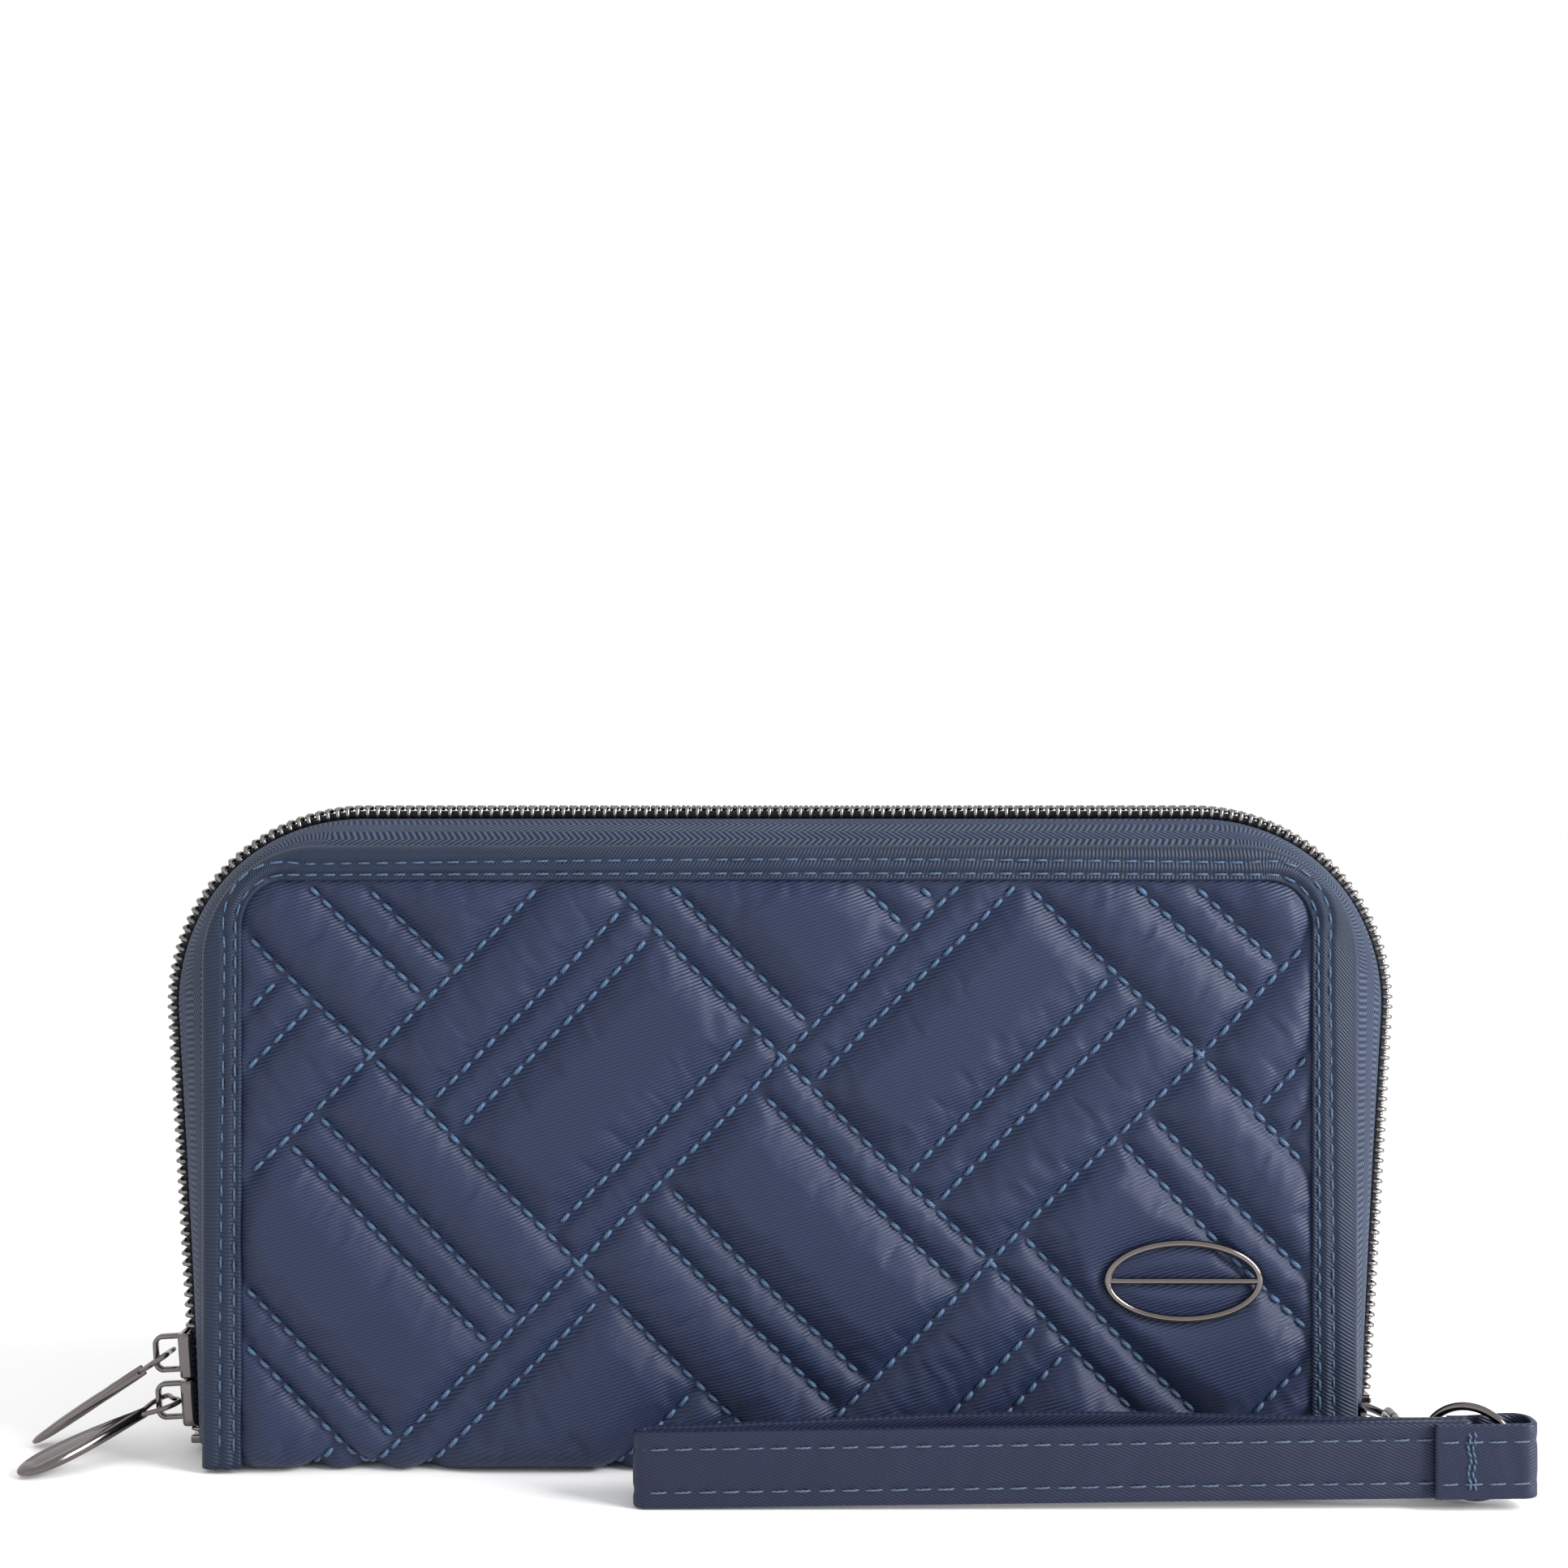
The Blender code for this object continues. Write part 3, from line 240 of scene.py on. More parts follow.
def metal(name, colour, roughness):
    material, tree, shader = new_material(name, colour, roughness, 1.0)
    place = add_node(tree, "ShaderNodeTexCoord").outputs["Object"]
    fine = noise(tree, place, 700.0, 3.0)
    broad = noise(tree, place, 90.0, 2.0)
    tree.links.new(spread(tree, fine, roughness - 0.04, roughness + 0.08), shader.inputs["Roughness"])
    dull = tuple(0.8 * c for c in colour)
    bright = tuple(1.25 * c for c in colour)
    tree.links.new(mix_colour(tree, broad, dull, bright), shader.inputs["Base Color"])
    emboss(tree, shader, broad, 0.15, 0.02)
    return material


def clear_sheet(name):
    material, tree, shader = new_material(name, (0.92, 0.95, 0.98), 0.1)
    place = add_node(tree, "ShaderNodeTexCoord").outputs["Object"]
    waves = noise(tree, place, 60.0, 1.0)
    emboss(tree, shader, waves, 0.3, 0.1)
    tree.links.new(spread(tree, waves, 0.06, 0.16), shader.inputs["Roughness"])
    shader.inputs["Transmission Weight"].default_value = 0.97
    shader.inputs["IOR"].default_value = 1.12
    return material


# Cloths: name, dark and light colours (mixed as painted shade in the rib grooves and painted light on the
# crests), roughness, pitch and turn of the ribs, relief, sheen, weave, share of the light colour left in the
# painted groove shade
NAVY = ((0.003, 0.007, 0.019), (0.011, 0.022, 0.05))
# The tape's near-black dark colour is the painted shade at the bottom of its herringbone grooves.
TAPE_NAVY = ((0.001, 0.003, 0.01), (0.045, 0.068, 0.13))
POCKET_NAVY = ((0.008, 0.014, 0.036), (0.022, 0.032, 0.075))
CLOTHS = {
    "quilt": ("quilt_satin", (0.005, 0.01, 0.03), (0.015, 0.024, 0.064), 0.46, 0.6, -18, 0.13, 0.03),
    "binding": ("binding_twill", *NAVY, 0.5, 0.6, 68, 0.15, 0.02),
    "tape": ("zip_tape", *TAPE_NAVY, 0.6, 0.85, 52, 0.4, 0.02, "herringbone", 0.0),
    "strap": ("strap_twill", (0.003, 0.006, 0.019), (0.011, 0.016, 0.046), 0.42, 0.5, -24, 0.1, 0.03),
    "lining": ("lining_weave", (0.09, 0.095, 0.112), (0.17, 0.175, 0.2), 0.7, 0.45, 0, 0.06, 0.05, "plain"),
    "pocket": ("pocket_weave", *POCKET_NAVY, 0.6, 0.5, 20, 0.09, 0.04, "plain"),
    # The zip cord's near-black colour is partly the coil's real core cord and partly painted shade under the
    # coil.
    "cord": ("zip_cord_painted_shade", (0.004, 0.005, 0.009), (0.012, 0.015, 0.026), 0.7, 0.5, 40, 0.08, 0.02),
}
THREADS = {
    "quilt_thread": (0.05, 0.092, 0.165),
    "edge_thread": (0.045, 0.085, 0.15),
    "strap_thread": (0.065, 0.095, 0.14),
}
MATERIALS = {name: cloth(*values) for name, values in CLOTHS.items()}
MATERIALS |= {name: thread_material(name, colour) for name, colour in THREADS.items()}
MATERIALS["coil"] = metal("coil_plating", (0.19, 0.18, 0.175), 0.26)
MATERIALS["gunmetal"] = metal("gunmetal", (0.145, 0.128, 0.127), 0.11)
MATERIALS["window"] = clear_sheet("window_vinyl")


# Meshes


def make_piece(name, points, faces, material, body, replaces=(), weave=None):
    """An object from points in millimetres. Its weave is each point's place on the flat cloth."""
    mesh = bpy.data.meshes.new(name)
    mesh.from_pydata((np.asarray(points, float) * MM).tolist(), [], faces)
    work = bmesh.new()
    work.from_mesh(mesh)
    bmesh.ops.recalc_face_normals(work, faces=work.faces)
    work.to_mesh(mesh)
    work.free()
    if weave is not None:
        store = mesh.attributes.new("weave", "FLOAT_VECTOR", "POINT")
        flat = np.zeros((len(points), 3), np.float32)
        flat[:, : weave.shape[1]] = weave
        store.data.foreach_set("vector", flat.ravel())
    mesh.shade_smooth()
    mesh.materials.append(MATERIALS[material])
    obj = bpy.data.objects.new(name, mesh)
    bpy.context.scene.collection.objects.link(obj)
    if replaces:
        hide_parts(*replaces)
    if body:
        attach(obj, body)
    return obj


def lattice(a_lines, b_lines):
    """Points and quads over every pair of lines."""
    a, b = np.meshgrid(a_lines, b_lines, indexing="ij")
    index = np.arange(a.size).reshape(a.shape)
    corners = (index[:-1, :-1], index[1:, :-1], index[1:, 1:], index[:-1, 1:])
    return a.ravel(), b.ravel(), np.stack(corners, -1).reshape(-1, 4)


def compact(quads, *arrays):
    """The quads renumbered over only the points that they use, and those points' values."""
    used, inverse = np.unique(quads, return_inverse=True)
    return inverse.reshape(-1, 4), [array[used] for array in arrays]


def boundary_edges(quads):
    """The directed edges that only one quad has."""
    edges = np.concatenate([quads[:, (k, (k + 1) % 4)] for k in range(4)])
    key = edges.min(1) * (quads.max() + 1) + edges.max(1)
    _, first, counts = np.unique(key, return_index=True, return_counts=True)
    return edges[first[counts == 1]]


def unit(vectors):
    return vectors / np.maximum(np.linalg.norm(vectors, axis=-1, keepdims=True), 1e-9)


def run_along(points):
    """Distance of each point from the first one, along the line."""
    return np.concatenate([[0], np.cumsum(np.linalg.norm(np.diff(points, axis=0), axis=1))])


def circle(count):
    return np.linspace(0, 2 * math.pi, count, endpoint=False)


def point_normals(points, quads):
    a, b, c, d = (points[quads[:, k]] for k in range(4))
    face = np.cross(c - a, d - b)
    total = np.zeros_like(points)
    for k in range(4):
        np.add.at(total, quads[:, k], face)
    return unit(total)


def thicken(points, quads, thickness):
    """A closed body under the surface: its points and faces."""
    inner = points - point_normals(points, quads) * thickness
    count = len(points)
    rim = boundary_edges(quads)
    sides = np.stack([rim[:, 1], rim[:, 0], rim[:, 0] + count, rim[:, 1] + count], -1)
    faces = np.concatenate([quads, quads[:, ::-1] + count, sides])
    return np.concatenate([points, inner]), faces.tolist()


def surface_piece(name, points, quads, thickness, material, body, replaces=(), weave=None):
    solid, faces = thicken(points, quads, thickness)
    doubled = None if weave is None else np.concatenate([weave, weave])
    return make_piece(name, solid, faces, material, body, replaces, doubled)


def arch_distance(x, z, left, right, top, bottom, radius):
    """Signed distance to an upright arch, less than 0 inside, and its outward direction."""
    sides = np.stack([left - x, x - right, z - top, bottom - z])
    nearest = sides.argmax(0)
    distance = sides.max(0)
    way = np.array([(-1, 0), (1, 0), (0, 1), (0, -1)], float)[nearest]
    centre_x = np.where(x < (left + right) / 2, left + radius, right - radius)
    off = np.stack([x - centre_x, z - (top - radius)], -1)
    corner = (off[:, 1] > 0) & (np.sign(off[:, 0]) == np.sign(x - (left + right) / 2))
    length = np.linalg.norm(off, axis=1)
    distance = np.where(corner, length - radius, distance)
    way = np.where(corner[:, None], off / np.maximum(length, 1e-9)[:, None], way)
    return distance, way


def crop_to_arch(u, v, quads, flat, arch):
    """Keeps the quads inside an arch, and moves the points round the cut onto its outline."""
    middle = flat[quads].mean(1)
    distance, _ = arch_distance(middle[:, 0], middle[:, 1], *arch)
    quads, (u, v, flat) = compact(quads[distance < 0], u, v, flat)
    rim = np.unique(boundary_edges(quads))
    distance, way = arch_distance(flat[rim, 0], flat[rim, 1], *arch)
    flat = flat.copy()
    flat[rim] -= distance[:, None] * way
    return u, v, quads, flat


def ease(value):
    value = np.clip(value, 0, 1)
    return value * value * (3 - 2 * value)


def ripple(s, seed, pitches=(2.3, 3.7, 6.1, 11.0)):
    """Smooth noise along a line, about -1 to 1."""
    total = 0
    for k, pitch in enumerate(pitches):
        total = total + np.sin(2 * math.pi * s / pitch + seed * (k + 1.7) * 2.4)
    return total / len(pitches)


def rings_piece(rings, closed=True, cap=True):
    """Points and faces through equal rings of points."""
    rings = np.asarray(rings, float)
    count, sides = rings.shape[:2]
    index = np.arange(count * sides).reshape(count, sides)
    faces = []
    across = sides if closed else sides - 1
    for k in range(across):
        j = (k + 1) % sides
        faces += np.stack([index[:-1, k], index[:-1, j], index[1:, j], index[1:, k]], -1).tolist()
    if cap:
        faces += [index[0][::-1].tolist(), index[-1].tolist()]
    return rings.reshape(-1, 3), faces


class Shells:
    """Separate closed shells that share one object, such as stitches or teeth."""

    def __init__(self):
        self.points = []
        self.faces = []
        self.weave = []
        self.count = 0

    def add(self, points, faces, weave=None):
        self.points.append(np.asarray(points, float))
        self.faces += [[k + self.count for k in face] for face in faces]
        self.weave.append(np.zeros((len(points), 2)) if weave is None else weave)
        self.count += len(points)

    def piece(self, name, material, body, replaces=()):
        points = np.concatenate(self.points)
        weave = np.concatenate(self.weave)
        return make_piece(name, points, self.faces, material, body, replaces, weave)


def frames_along(points, cyclic=False):
    """Unit tangents and two sideways directions that turn as little as they can."""
    points = np.asarray(points, float)
    if cyclic:
        tangents = unit(np.roll(points, -1, 0) - np.roll(points, 1, 0))
    else:
        tangents = unit(np.gradient(points, axis=0))
    first = np.cross(tangents[0], (0.0, 0.0, 1.0))
    if np.linalg.norm(first) < 0.1:
        first = np.cross(tangents[0], (0.0, 1.0, 0.0))
    normals = [unit(first)]
    for tangent in tangents[1:]:
        last = normals[-1] - tangent * np.dot(normals[-1], tangent)
        normals.append(unit(last))
    normals = np.array(normals)
    return tangents, normals, np.cross(tangents, normals)


def wire(points, radius, sides=14, cyclic=False):
    """A round wire through points, with domed ends where it isn't a ring."""
    points = np.asarray(points, float)
    tangents, normals, others = frames_along(points, cyclic)
    radii = np.full(len(points), radius, float)
    if not cyclic:
        dome = radius * np.array([1.0, 0.72, 0.3])
        head = points[0] - tangents[0] * np.array([1.0, 0.7, 0.0])[:, None] * radius
        tail = points[-1] + tangents[-1] * np.array([0.0, 0.7, 1.0])[:, None] * radius
        points = np.concatenate([head, points[1:-1], tail])
        radii = np.concatenate([dome[::-1], radii[1:-1], dome])
        normals = np.concatenate([normals[[0] * 3], normals[1:-1], normals[[-1] * 3]])
        others = np.concatenate([others[[0] * 3], others[1:-1], others[[-1] * 3]])
    angles = np.arange(sides) * 2 * math.pi / sides
    ring = normals[:, None] * np.cos(angles)[None, :, None] + others[:, None] * np.sin(angles)[None, :, None]
    rings = points[:, None] + ring * radii[:, None, None]
    if cyclic:
        flat, faces = rings_piece(np.concatenate([rings, rings[:1]]), cap=False)
        total = len(points) * sides
        return flat[:total], [[k % total for k in face] for face in faces]
    return rings_piece(rings)


def smooth_line(points, step=0.4, cyclic=False):
    """Points of a Catmull-Rom curve through the given ones, about step apart."""
    points = np.asarray(points, float)
    count = len(points)
    made = []
    spans = count if cyclic else count - 1
    for i in range(spans):
        if cyclic:
            a, b, c, d = (points[(i + k) % count] for k in (-1, 0, 1, 2))
        else:
            a, b, c, d = (points[min(max(i + k, 0), count - 1)] for k in (-1, 0, 1, 2))
        steps = max(2, int(np.linalg.norm(c - b) / step))
        for k in range(steps):
            t = k / steps
            square = (2 * a - 5 * b + 4 * c - d) * t**2
            cube = (3 * b - a - 3 * c + d) * t**3
            made.append(0.5 * (2 * b + (c - a) * t + square + cube))
    if not cyclic:
        made.append(points[-1])
    return np.array(made)


# Stitches

STITCH_T = np.array([-1.0, -0.86, -0.45, 0.0, 0.45, 0.86, 1.0])
STITCH_SWELL = np.array([0.35, 0.8, 1.0, 1.04, 1.0, 0.8, 0.35])
STITCH_RISE = np.array([-1.0, -0.25, 0.5, 0.62, 0.5, -0.25, -1.0])
STITCH_SIDES = 6


def resample(points, at):
    """Places at distances along a line of points."""
    return resample_by(run_along(points), points, at)


def resample_by(run, points, at):
    return np.stack([np.interp(at, run, points[:, k]) for k in range(points.shape[1])], -1)


def sew(shells, line, normals, pitch, stitch, radius, rng, slant=0.06):
    """Stitches along a line, raised in their middles and sunk at their ends."""
    total = float(run_along(line)[-1])
    count = int((total - 0.3) // pitch)
    if count < 1:
        return
    centres = (total - (count - 1) * pitch) / 2 + np.arange(count) * pitch
    centres = centres + rng.uniform(-0.12, 0.12, count)
    start = resample(line, centres - stitch / 2)
    end = resample(line, centres + stitch / 2)
    full = np.concatenate([line, np.broadcast_to(normals, line.shape)], 1)
    up = unit(resample(full, centres)[:, 3:])
    middle = (start + end) / 2
    along = unit(end - start)
    side = unit(np.cross(up, along))
    along = unit(along + side * slant * rng.uniform(0.4, 1.6, count)[:, None])
    side = unit(np.cross(up, along))
    angles = np.arange(STITCH_SIDES) * 2 * math.pi / STITCH_SIDES
    half = np.linalg.norm(end - start, axis=1) / 2
    half = half * rng.uniform(0.92, 1.05, count)
    thick = radius * rng.uniform(0.9, 1.1, count)
    t = STITCH_T[None, :, None, None]
    swell = (STITCH_SWELL[None, :, None] * thick[:, None, None])[..., None]
    rise = (STITCH_RISE[None, :, None] * thick[:, None, None])[..., None]
    points = (
        middle[:, None, None]
        + along[:, None, None] * half[:, None, None, None] * t
        + up[:, None, None] * (rise + swell * 0.85 * np.sin(angles)[None, None, :, None])
        + side[:, None, None] * swell * np.cos(angles)[None, None, :, None]
    )
    _, faces = rings_piece(np.zeros((len(STITCH_T), STITCH_SIDES, 3)))
    around = np.broadcast_to(angles * radius, (len(STITCH_T), STITCH_SIDES))
    onward = np.broadcast_to((STITCH_T * stitch / 2)[:, None], around.shape)
    weave = np.stack([onward.ravel(), around.ravel()], -1)
    for shell in points:
        shells.add(shell.reshape(-1, 3), faces, weave)


# The quilt


def seam_table(row):
    """The five edges of the strips in a cell of an even or odd row."""
    return np.array([0.0, *(ODD_SEAMS if row % 2 else EVEN_SEAMS), PERIOD])


def strip_facts(u, v):
    """For each place: its strip's width, the distances to its long seam and end, and places along both."""
    i = np.floor((u - U_START) / PERIOD).astype(int)
    j = np.floor((v - V_START) / PERIOD).astype(int)
    in_u = (u - U_START) - i * PERIOD
    in_v = (v - V_START) - j * PERIOD
    upright = (i + j) % 2 == 0
    across = np.where(upright, in_u, in_v)
    along = np.where(upright, in_v, in_u)
    table = np.where((j % 2 == 1)[:, None], seam_table(1), seam_table(0))
    strip = np.clip((across[:, None] >= table[:, 1:4]).sum(1), 0, 3)
    low = np.take_along_axis(table, strip[:, None], 1)[:, 0]
    high = np.take_along_axis(table, strip[:, None] + 1, 1)[:, 0]
    to_seam = np.minimum(across - low, high - across)
    to_end = np.minimum(along, PERIOD - along)
    return high - low, np.maximum(to_seam, 0), np.maximum(to_end, 0), along, across, i * 7 + j * 13 + strip


def flat_place(u, v):
    """Where a place on the pattern is on the cloth: the seams wander a little."""
    x = (u - v) / ROOT2
    z = (u + v) / ROOT2
    x = x + 0.32 * np.sin(u / 13 + 0.6) + 0.22 * np.sin(v / 8.3 + 2.1)
    z = z + 0.3 * np.sin(v / 12 + 1.1) + 0.22 * np.sin(u / 9.1 + 0.3)
    return np.stack([x, z], -1)


FOLD_Z = VALLEY_Z + FOLD_R
UNDER_START = FOLD_Z - FOLD_R * math.pi / 2
UNDER_END = UNDER_START - 2 * (VALLEY_Y - FOLD_R)
REAR_START = UNDER_END - FOLD_R * math.pi / 2


def wrap(flat):
    """The cloth laid down the front, under the base and up the rear: places and outward directions."""
    x, s = flat[:, 0], flat[:, 1]
    first = (FOLD_Z - s) / FOLD_R
    second = (UNDER_END - s) / FOLD_R
    inner = VALLEY_Y - FOLD_R
    zones = [s >= FOLD_Z, s >= UNDER_START, s >= UNDER_END, s >= REAR_START]
    fold_y = -inner - FOLD_R * np.cos(first)
    fold_z = FOLD_Z - FOLD_R * np.sin(first)
    rise_y = inner + FOLD_R * np.sin(second)
    rise_z = FOLD_Z - FOLD_R * np.cos(second)
    y = np.select(zones, [-VALLEY_Y + 0 * s, fold_y, -inner + UNDER_START - s, rise_y], VALLEY_Y)
    z = np.select(zones, [s, fold_z, VALLEY_Z + 0 * s, rise_z], FOLD_Z + REAR_START - s)
    n_y = np.select(zones, [-1 + 0 * s, -np.cos(first), 0 * s, np.sin(second)], 1.0)
    n_z = np.select(zones, [0 * s, -np.sin(first), -1 + 0 * s, -np.cos(second)], 0.0)
    return np.stack([x, y, z], -1), np.stack([0 * x, n_y, n_z], -1)


BADGE_LOW, BADGE_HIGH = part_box("badge")
BADGE_X = (BADGE_LOW.x + BADGE_HIGH.x) / 2 / MM
BADGE_Z = (BADGE_LOW.z + BADGE_HIGH.z) / 2 / MM
BADGE_WIRE = (BADGE_HIGH.y - BADGE_LOW.y) / 2 / MM
BADGE_A = (BADGE_HIGH.x - BADGE_LOW.x) / 2 / MM - BADGE_WIRE
BADGE_B = (BADGE_HIGH.z - BADGE_LOW.z) / 2 / MM - BADGE_WIRE
BADGE_BACK = -BADGE_HIGH.y / MM


def badge_distance(x, z):
    """About how far a place is from the badge's wire."""
    dx = x - BADGE_X
    dz = z - BADGE_Z
    size = np.sqrt((dx / BADGE_A) ** 2 + (dz / BADGE_B) ** 2)
    oval = np.abs(size - 1) * np.where(size > 1, np.hypot(dx, dz) / np.maximum(size, 1e-6), BADGE_B)
    bar = np.where(np.abs(dx) < BADGE_A, np.abs(dz), 99.0)
    return np.minimum(oval, bar)


def band_distance(flat):
    """How far inside the binding's inner edge a place on the cloth is, on the front or the rear."""
    x = flat[:, 0]
    s = flat[:, 1]
    z = np.where(s < (UNDER_START + UNDER_END) / 2, FOLD_Z + REAR_START - s, s)
    mirror = np.where(s < (UNDER_START + UNDER_END) / 2, -1, 1)
    distance, _ = arch_distance(
        x * mirror, z, BAND_LEFT - HALF_W, HALF_W - BAND_RIGHT, PANEL_H - BAND_TOP, -99.0, INNER_R
    )
    return -distance


def puff(width, to_seam, to_end):
    """Height of the wadding over its seams."""
    top = np.minimum(0.31 * width**0.7, 2.5)
    long_reach = np.minimum(width / 2, 8.5)
    end_reach = 2.5 + 0.25 * width
    rise = 1 - (1 - np.clip((to_seam - SEAM_HALF) / (long_reach - SEAM_HALF), 0, 1)) ** 2.5
    close = 1 - (1 - np.clip((to_end - SEAM_HALF) / (end_reach - SEAM_HALF), 0, 1)) ** 2.5
    return top * rise * close


def relief_at(relief, u, v):
    """Height that the simulation added, between the lines of its coarse lattice."""
    u_lines, v_lines, heights = relief
    i = np.clip(np.searchsorted(u_lines, u) - 1, 0, len(u_lines) - 2)
    j = np.clip(np.searchsorted(v_lines, v) - 1, 0, len(v_lines) - 2)
    s = np.clip((u - u_lines[i]) / (u_lines[i + 1] - u_lines[i]), 0, 1)
    t = np.clip((v - v_lines[j]) / (v_lines[j + 1] - v_lines[j]), 0, 1)
    low = heights[i, j] * (1 - s) + heights[i + 1, j] * s
    high = heights[i, j + 1] * (1 - s) + heights[i + 1, j + 1] * s
    return low * (1 - t) + high * t


def quilt_height(u, v, flat, outward, relief):
    """Height of the cloth above its valley surface, with puckers at the seams and the edge."""
    width, to_seam, to_end, along, across, seed = strip_facts(u, v)
    height = puff(width, to_seam, to_end)
    if relief is not None:
        height = START_SHARE * height + relief_at(relief, u, v)
    for near, run in ((to_seam, along), (to_end, across)):
        gather = 0.5 + 0.5 * np.cos(2 * math.pi * run / QUILT_PITCH)
        height -= 0.17 * np.exp(-near / 1.7) * gather * (near > SEAM_HALF)
        lift = ripple(run + 0.5 * near, seed, (3.1, 4.6, 7.3))
        height += 0.15 * lift * np.exp(-near / 3.6) * ease(near / 1.3)
    height += 0.16 * np.sin(u / 5.1 + v / 9.0) * np.sin(v / 6.3 + 1.0) * ease(to_seam / 3)
    inside = band_distance(flat)
    edge = 0.22 + 0.78 * (1 - (1 - np.clip(inside / 4.5, 0, 1)) ** 2)
    height = np.maximum(height, 0) * edge
    height -= SEAM_DEPTH * np.exp(-((np.minimum(to_seam, to_end) / 0.95) ** 2)) * ease(inside / 2)
    run = np.where(np.abs(flat[:, 0]) > HALF_W - 12, flat[:, 1], flat[:, 0])
    height += 0.2 * ripple(run, 3.3, (2.9, 4.3, 7.1)) * np.exp(-np.abs(inside - 1.2) / 2.4) * (inside > 0)
    press = BADGE_BACK - 0.12 - VALLEY_Y
    limit = press + 1.9 * (1 - np.exp(-np.maximum(badge_distance(flat[:, 0], flat[:, 1]) - 0.8, 0) / 3.4))
    limit = np.where(outward[:, 1] < -0.5, limit, 9.0)
    floor = np.where(outward[:, 2] < -0.02, VALLEY_Z - 0.04 + 1.6 * (1 + outward[:, 2]), 9.0)
    return np.minimum(np.minimum(height, limit), floor)


def seam_lines(low, high, start, spacing):
    """Lattice lines that run along every seam, close beside it, and evenly between."""
    offsets = sorted({0.0, *ODD_SEAMS, *EVEN_SEAMS})
    stops = []
    for k in range(int((low - start) // PERIOD), int((high - start) // PERIOD) + 1):
        stops += [start + k * PERIOD + offset for offset in offsets]
    lines = []
    for first, second in zip(stops, stops[1:]):
        inner = second - first - 2 * SEAM_HALF
        steps = max(2, round(inner / spacing))
        lines.append(first)
        lines += [first + SEAM_HALF + inner * k / steps for k in range(steps + 1)]
    lines = np.array(lines)
    return lines[(lines > low - 2) & (lines < high + 2)]


def quilt_lattice(top, bottom, mirror, spacing):
    """Places on the pattern and the cloth for one stretch of the quilt, and the quads between them."""
    reach = HALF_W - QUILT_INSET
    spans = [(x + s) / ROOT2 for s in (top, bottom) for x in (-reach, reach)]
    low, high = min(spans), max(spans)
    u_lines = seam_lines(low, high, U_START, spacing)
    v_lines = seam_lines(low, high, V_START, spacing)
    u, v, quads = lattice(u_lines, v_lines)
    flat = flat_place(u, v)
    if mirror == 1:
        arch = (-reach, reach, top, bottom, QUILT_R)
        u, v, quads, flat = crop_to_arch(u, v, quads, flat, arch)
    else:
        turned = flat * (1, -1)
        arch = (-reach, reach, -bottom, -top, QUILT_R)
        u, v, quads, turned = crop_to_arch(u, v, quads, turned, arch)
        flat = turned * (1, -1)
    return u, v, quads, flat, u_lines, v_lines


def swell(points, quads, held):
    """The surface after a cloth simulation: pressure from below, a little spare cloth, and its seams held."""
    mesh = bpy.data.meshes.new("swelling")
    mesh.from_pydata((points * 0.01).tolist(), [], quads.tolist())
    obj = bpy.data.objects.new("swelling", mesh)
    scene = bpy.context.scene
    scene.collection.objects.link(obj)
    obj.vertex_groups.new(name="held").add(np.flatnonzero(held).tolist(), 1.0, "ADD")
    cloth_modifier = obj.modifiers.new("cloth", "CLOTH")
    settings = cloth_modifier.settings
    settings.quality = 4
    settings.mass = 0.25
    settings.tension_stiffness = settings.compression_stiffness = 12
    settings.shear_stiffness = 6
    settings.bending_stiffness = 0.05
    settings.use_pressure = True
    settings.uniform_pressure_force = PRESSURE
    settings.vertex_group_mass = "held"
    settings.shrink_min = -SPARE_CLOTH
    settings.effector_weights.gravity = 0
    cloth_modifier.point_cache.frame_start = 1
    cloth_modifier.point_cache.frame_end = SWELL_FRAMES
    for step in range(1, SWELL_FRAMES + 1):
        scene.frame_set(step)
    found = obj.evaluated_get(bpy.context.evaluated_depsgraph_get()).to_mesh()
    moved_points = np.empty(len(points) * 3)
    found.vertices.foreach_get("co", moved_points)
    bpy.data.objects.remove(obj)
    bpy.data.meshes.remove(mesh)
    scene.frame_set(1)
    return moved_points.reshape(-1, 3) * 100


def simulate_quilt(top, bottom, mirror):
    """Heights that the wadding's pressure adds to a smooth start, on a coarse lattice over the pattern."""
    u, v, quads, flat, u_lines, v_lines = quilt_lattice(top, bottom, mirror, SWELL_STEP)
    place, outward = wrap(flat)
    width, to_seam, to_end, *_ = strip_facts(u, v)
    height = START_SHARE * puff(width, to_seam, to_end)
    wander = 0.06 * np.sin(u * 1.31 + v * 0.73) * np.sin(v * 1.17 - u * 0.41)
    held = np.minimum(to_seam, to_end) < SEAM_HALF + 0.01
    held |= band_distance(flat) < 0.3
    start = place + outward * (height + wander * ~held)[:, None]
    moved_points = swell(start, quads, held)
    gain = np.clip(((moved_points - start) * outward).sum(1), -SWELL_CAP, SWELL_CAP)
    heights = np.zeros((len(u_lines), len(v_lines)))
    heights[np.searchsorted(u_lines, u), np.searchsorted(v_lines, v)] = gain
    return u_lines, v_lines, heights


def quilt_surface(top, bottom, mirror, relief):
    """One stretch of the quilt between two places down the cloth."""
    u, v, quads, flat, _, _ = quilt_lattice(top, bottom, mirror, LINE_STEP)
    place, outward = wrap(flat)
    height = quilt_height(u, v, flat, outward, relief)
    if mirror == -1:
        height = height - 0.35 * (1 - ease((top - flat[:, 1]) / 1.2))
    return place + outward * height[:, None], quads, flat


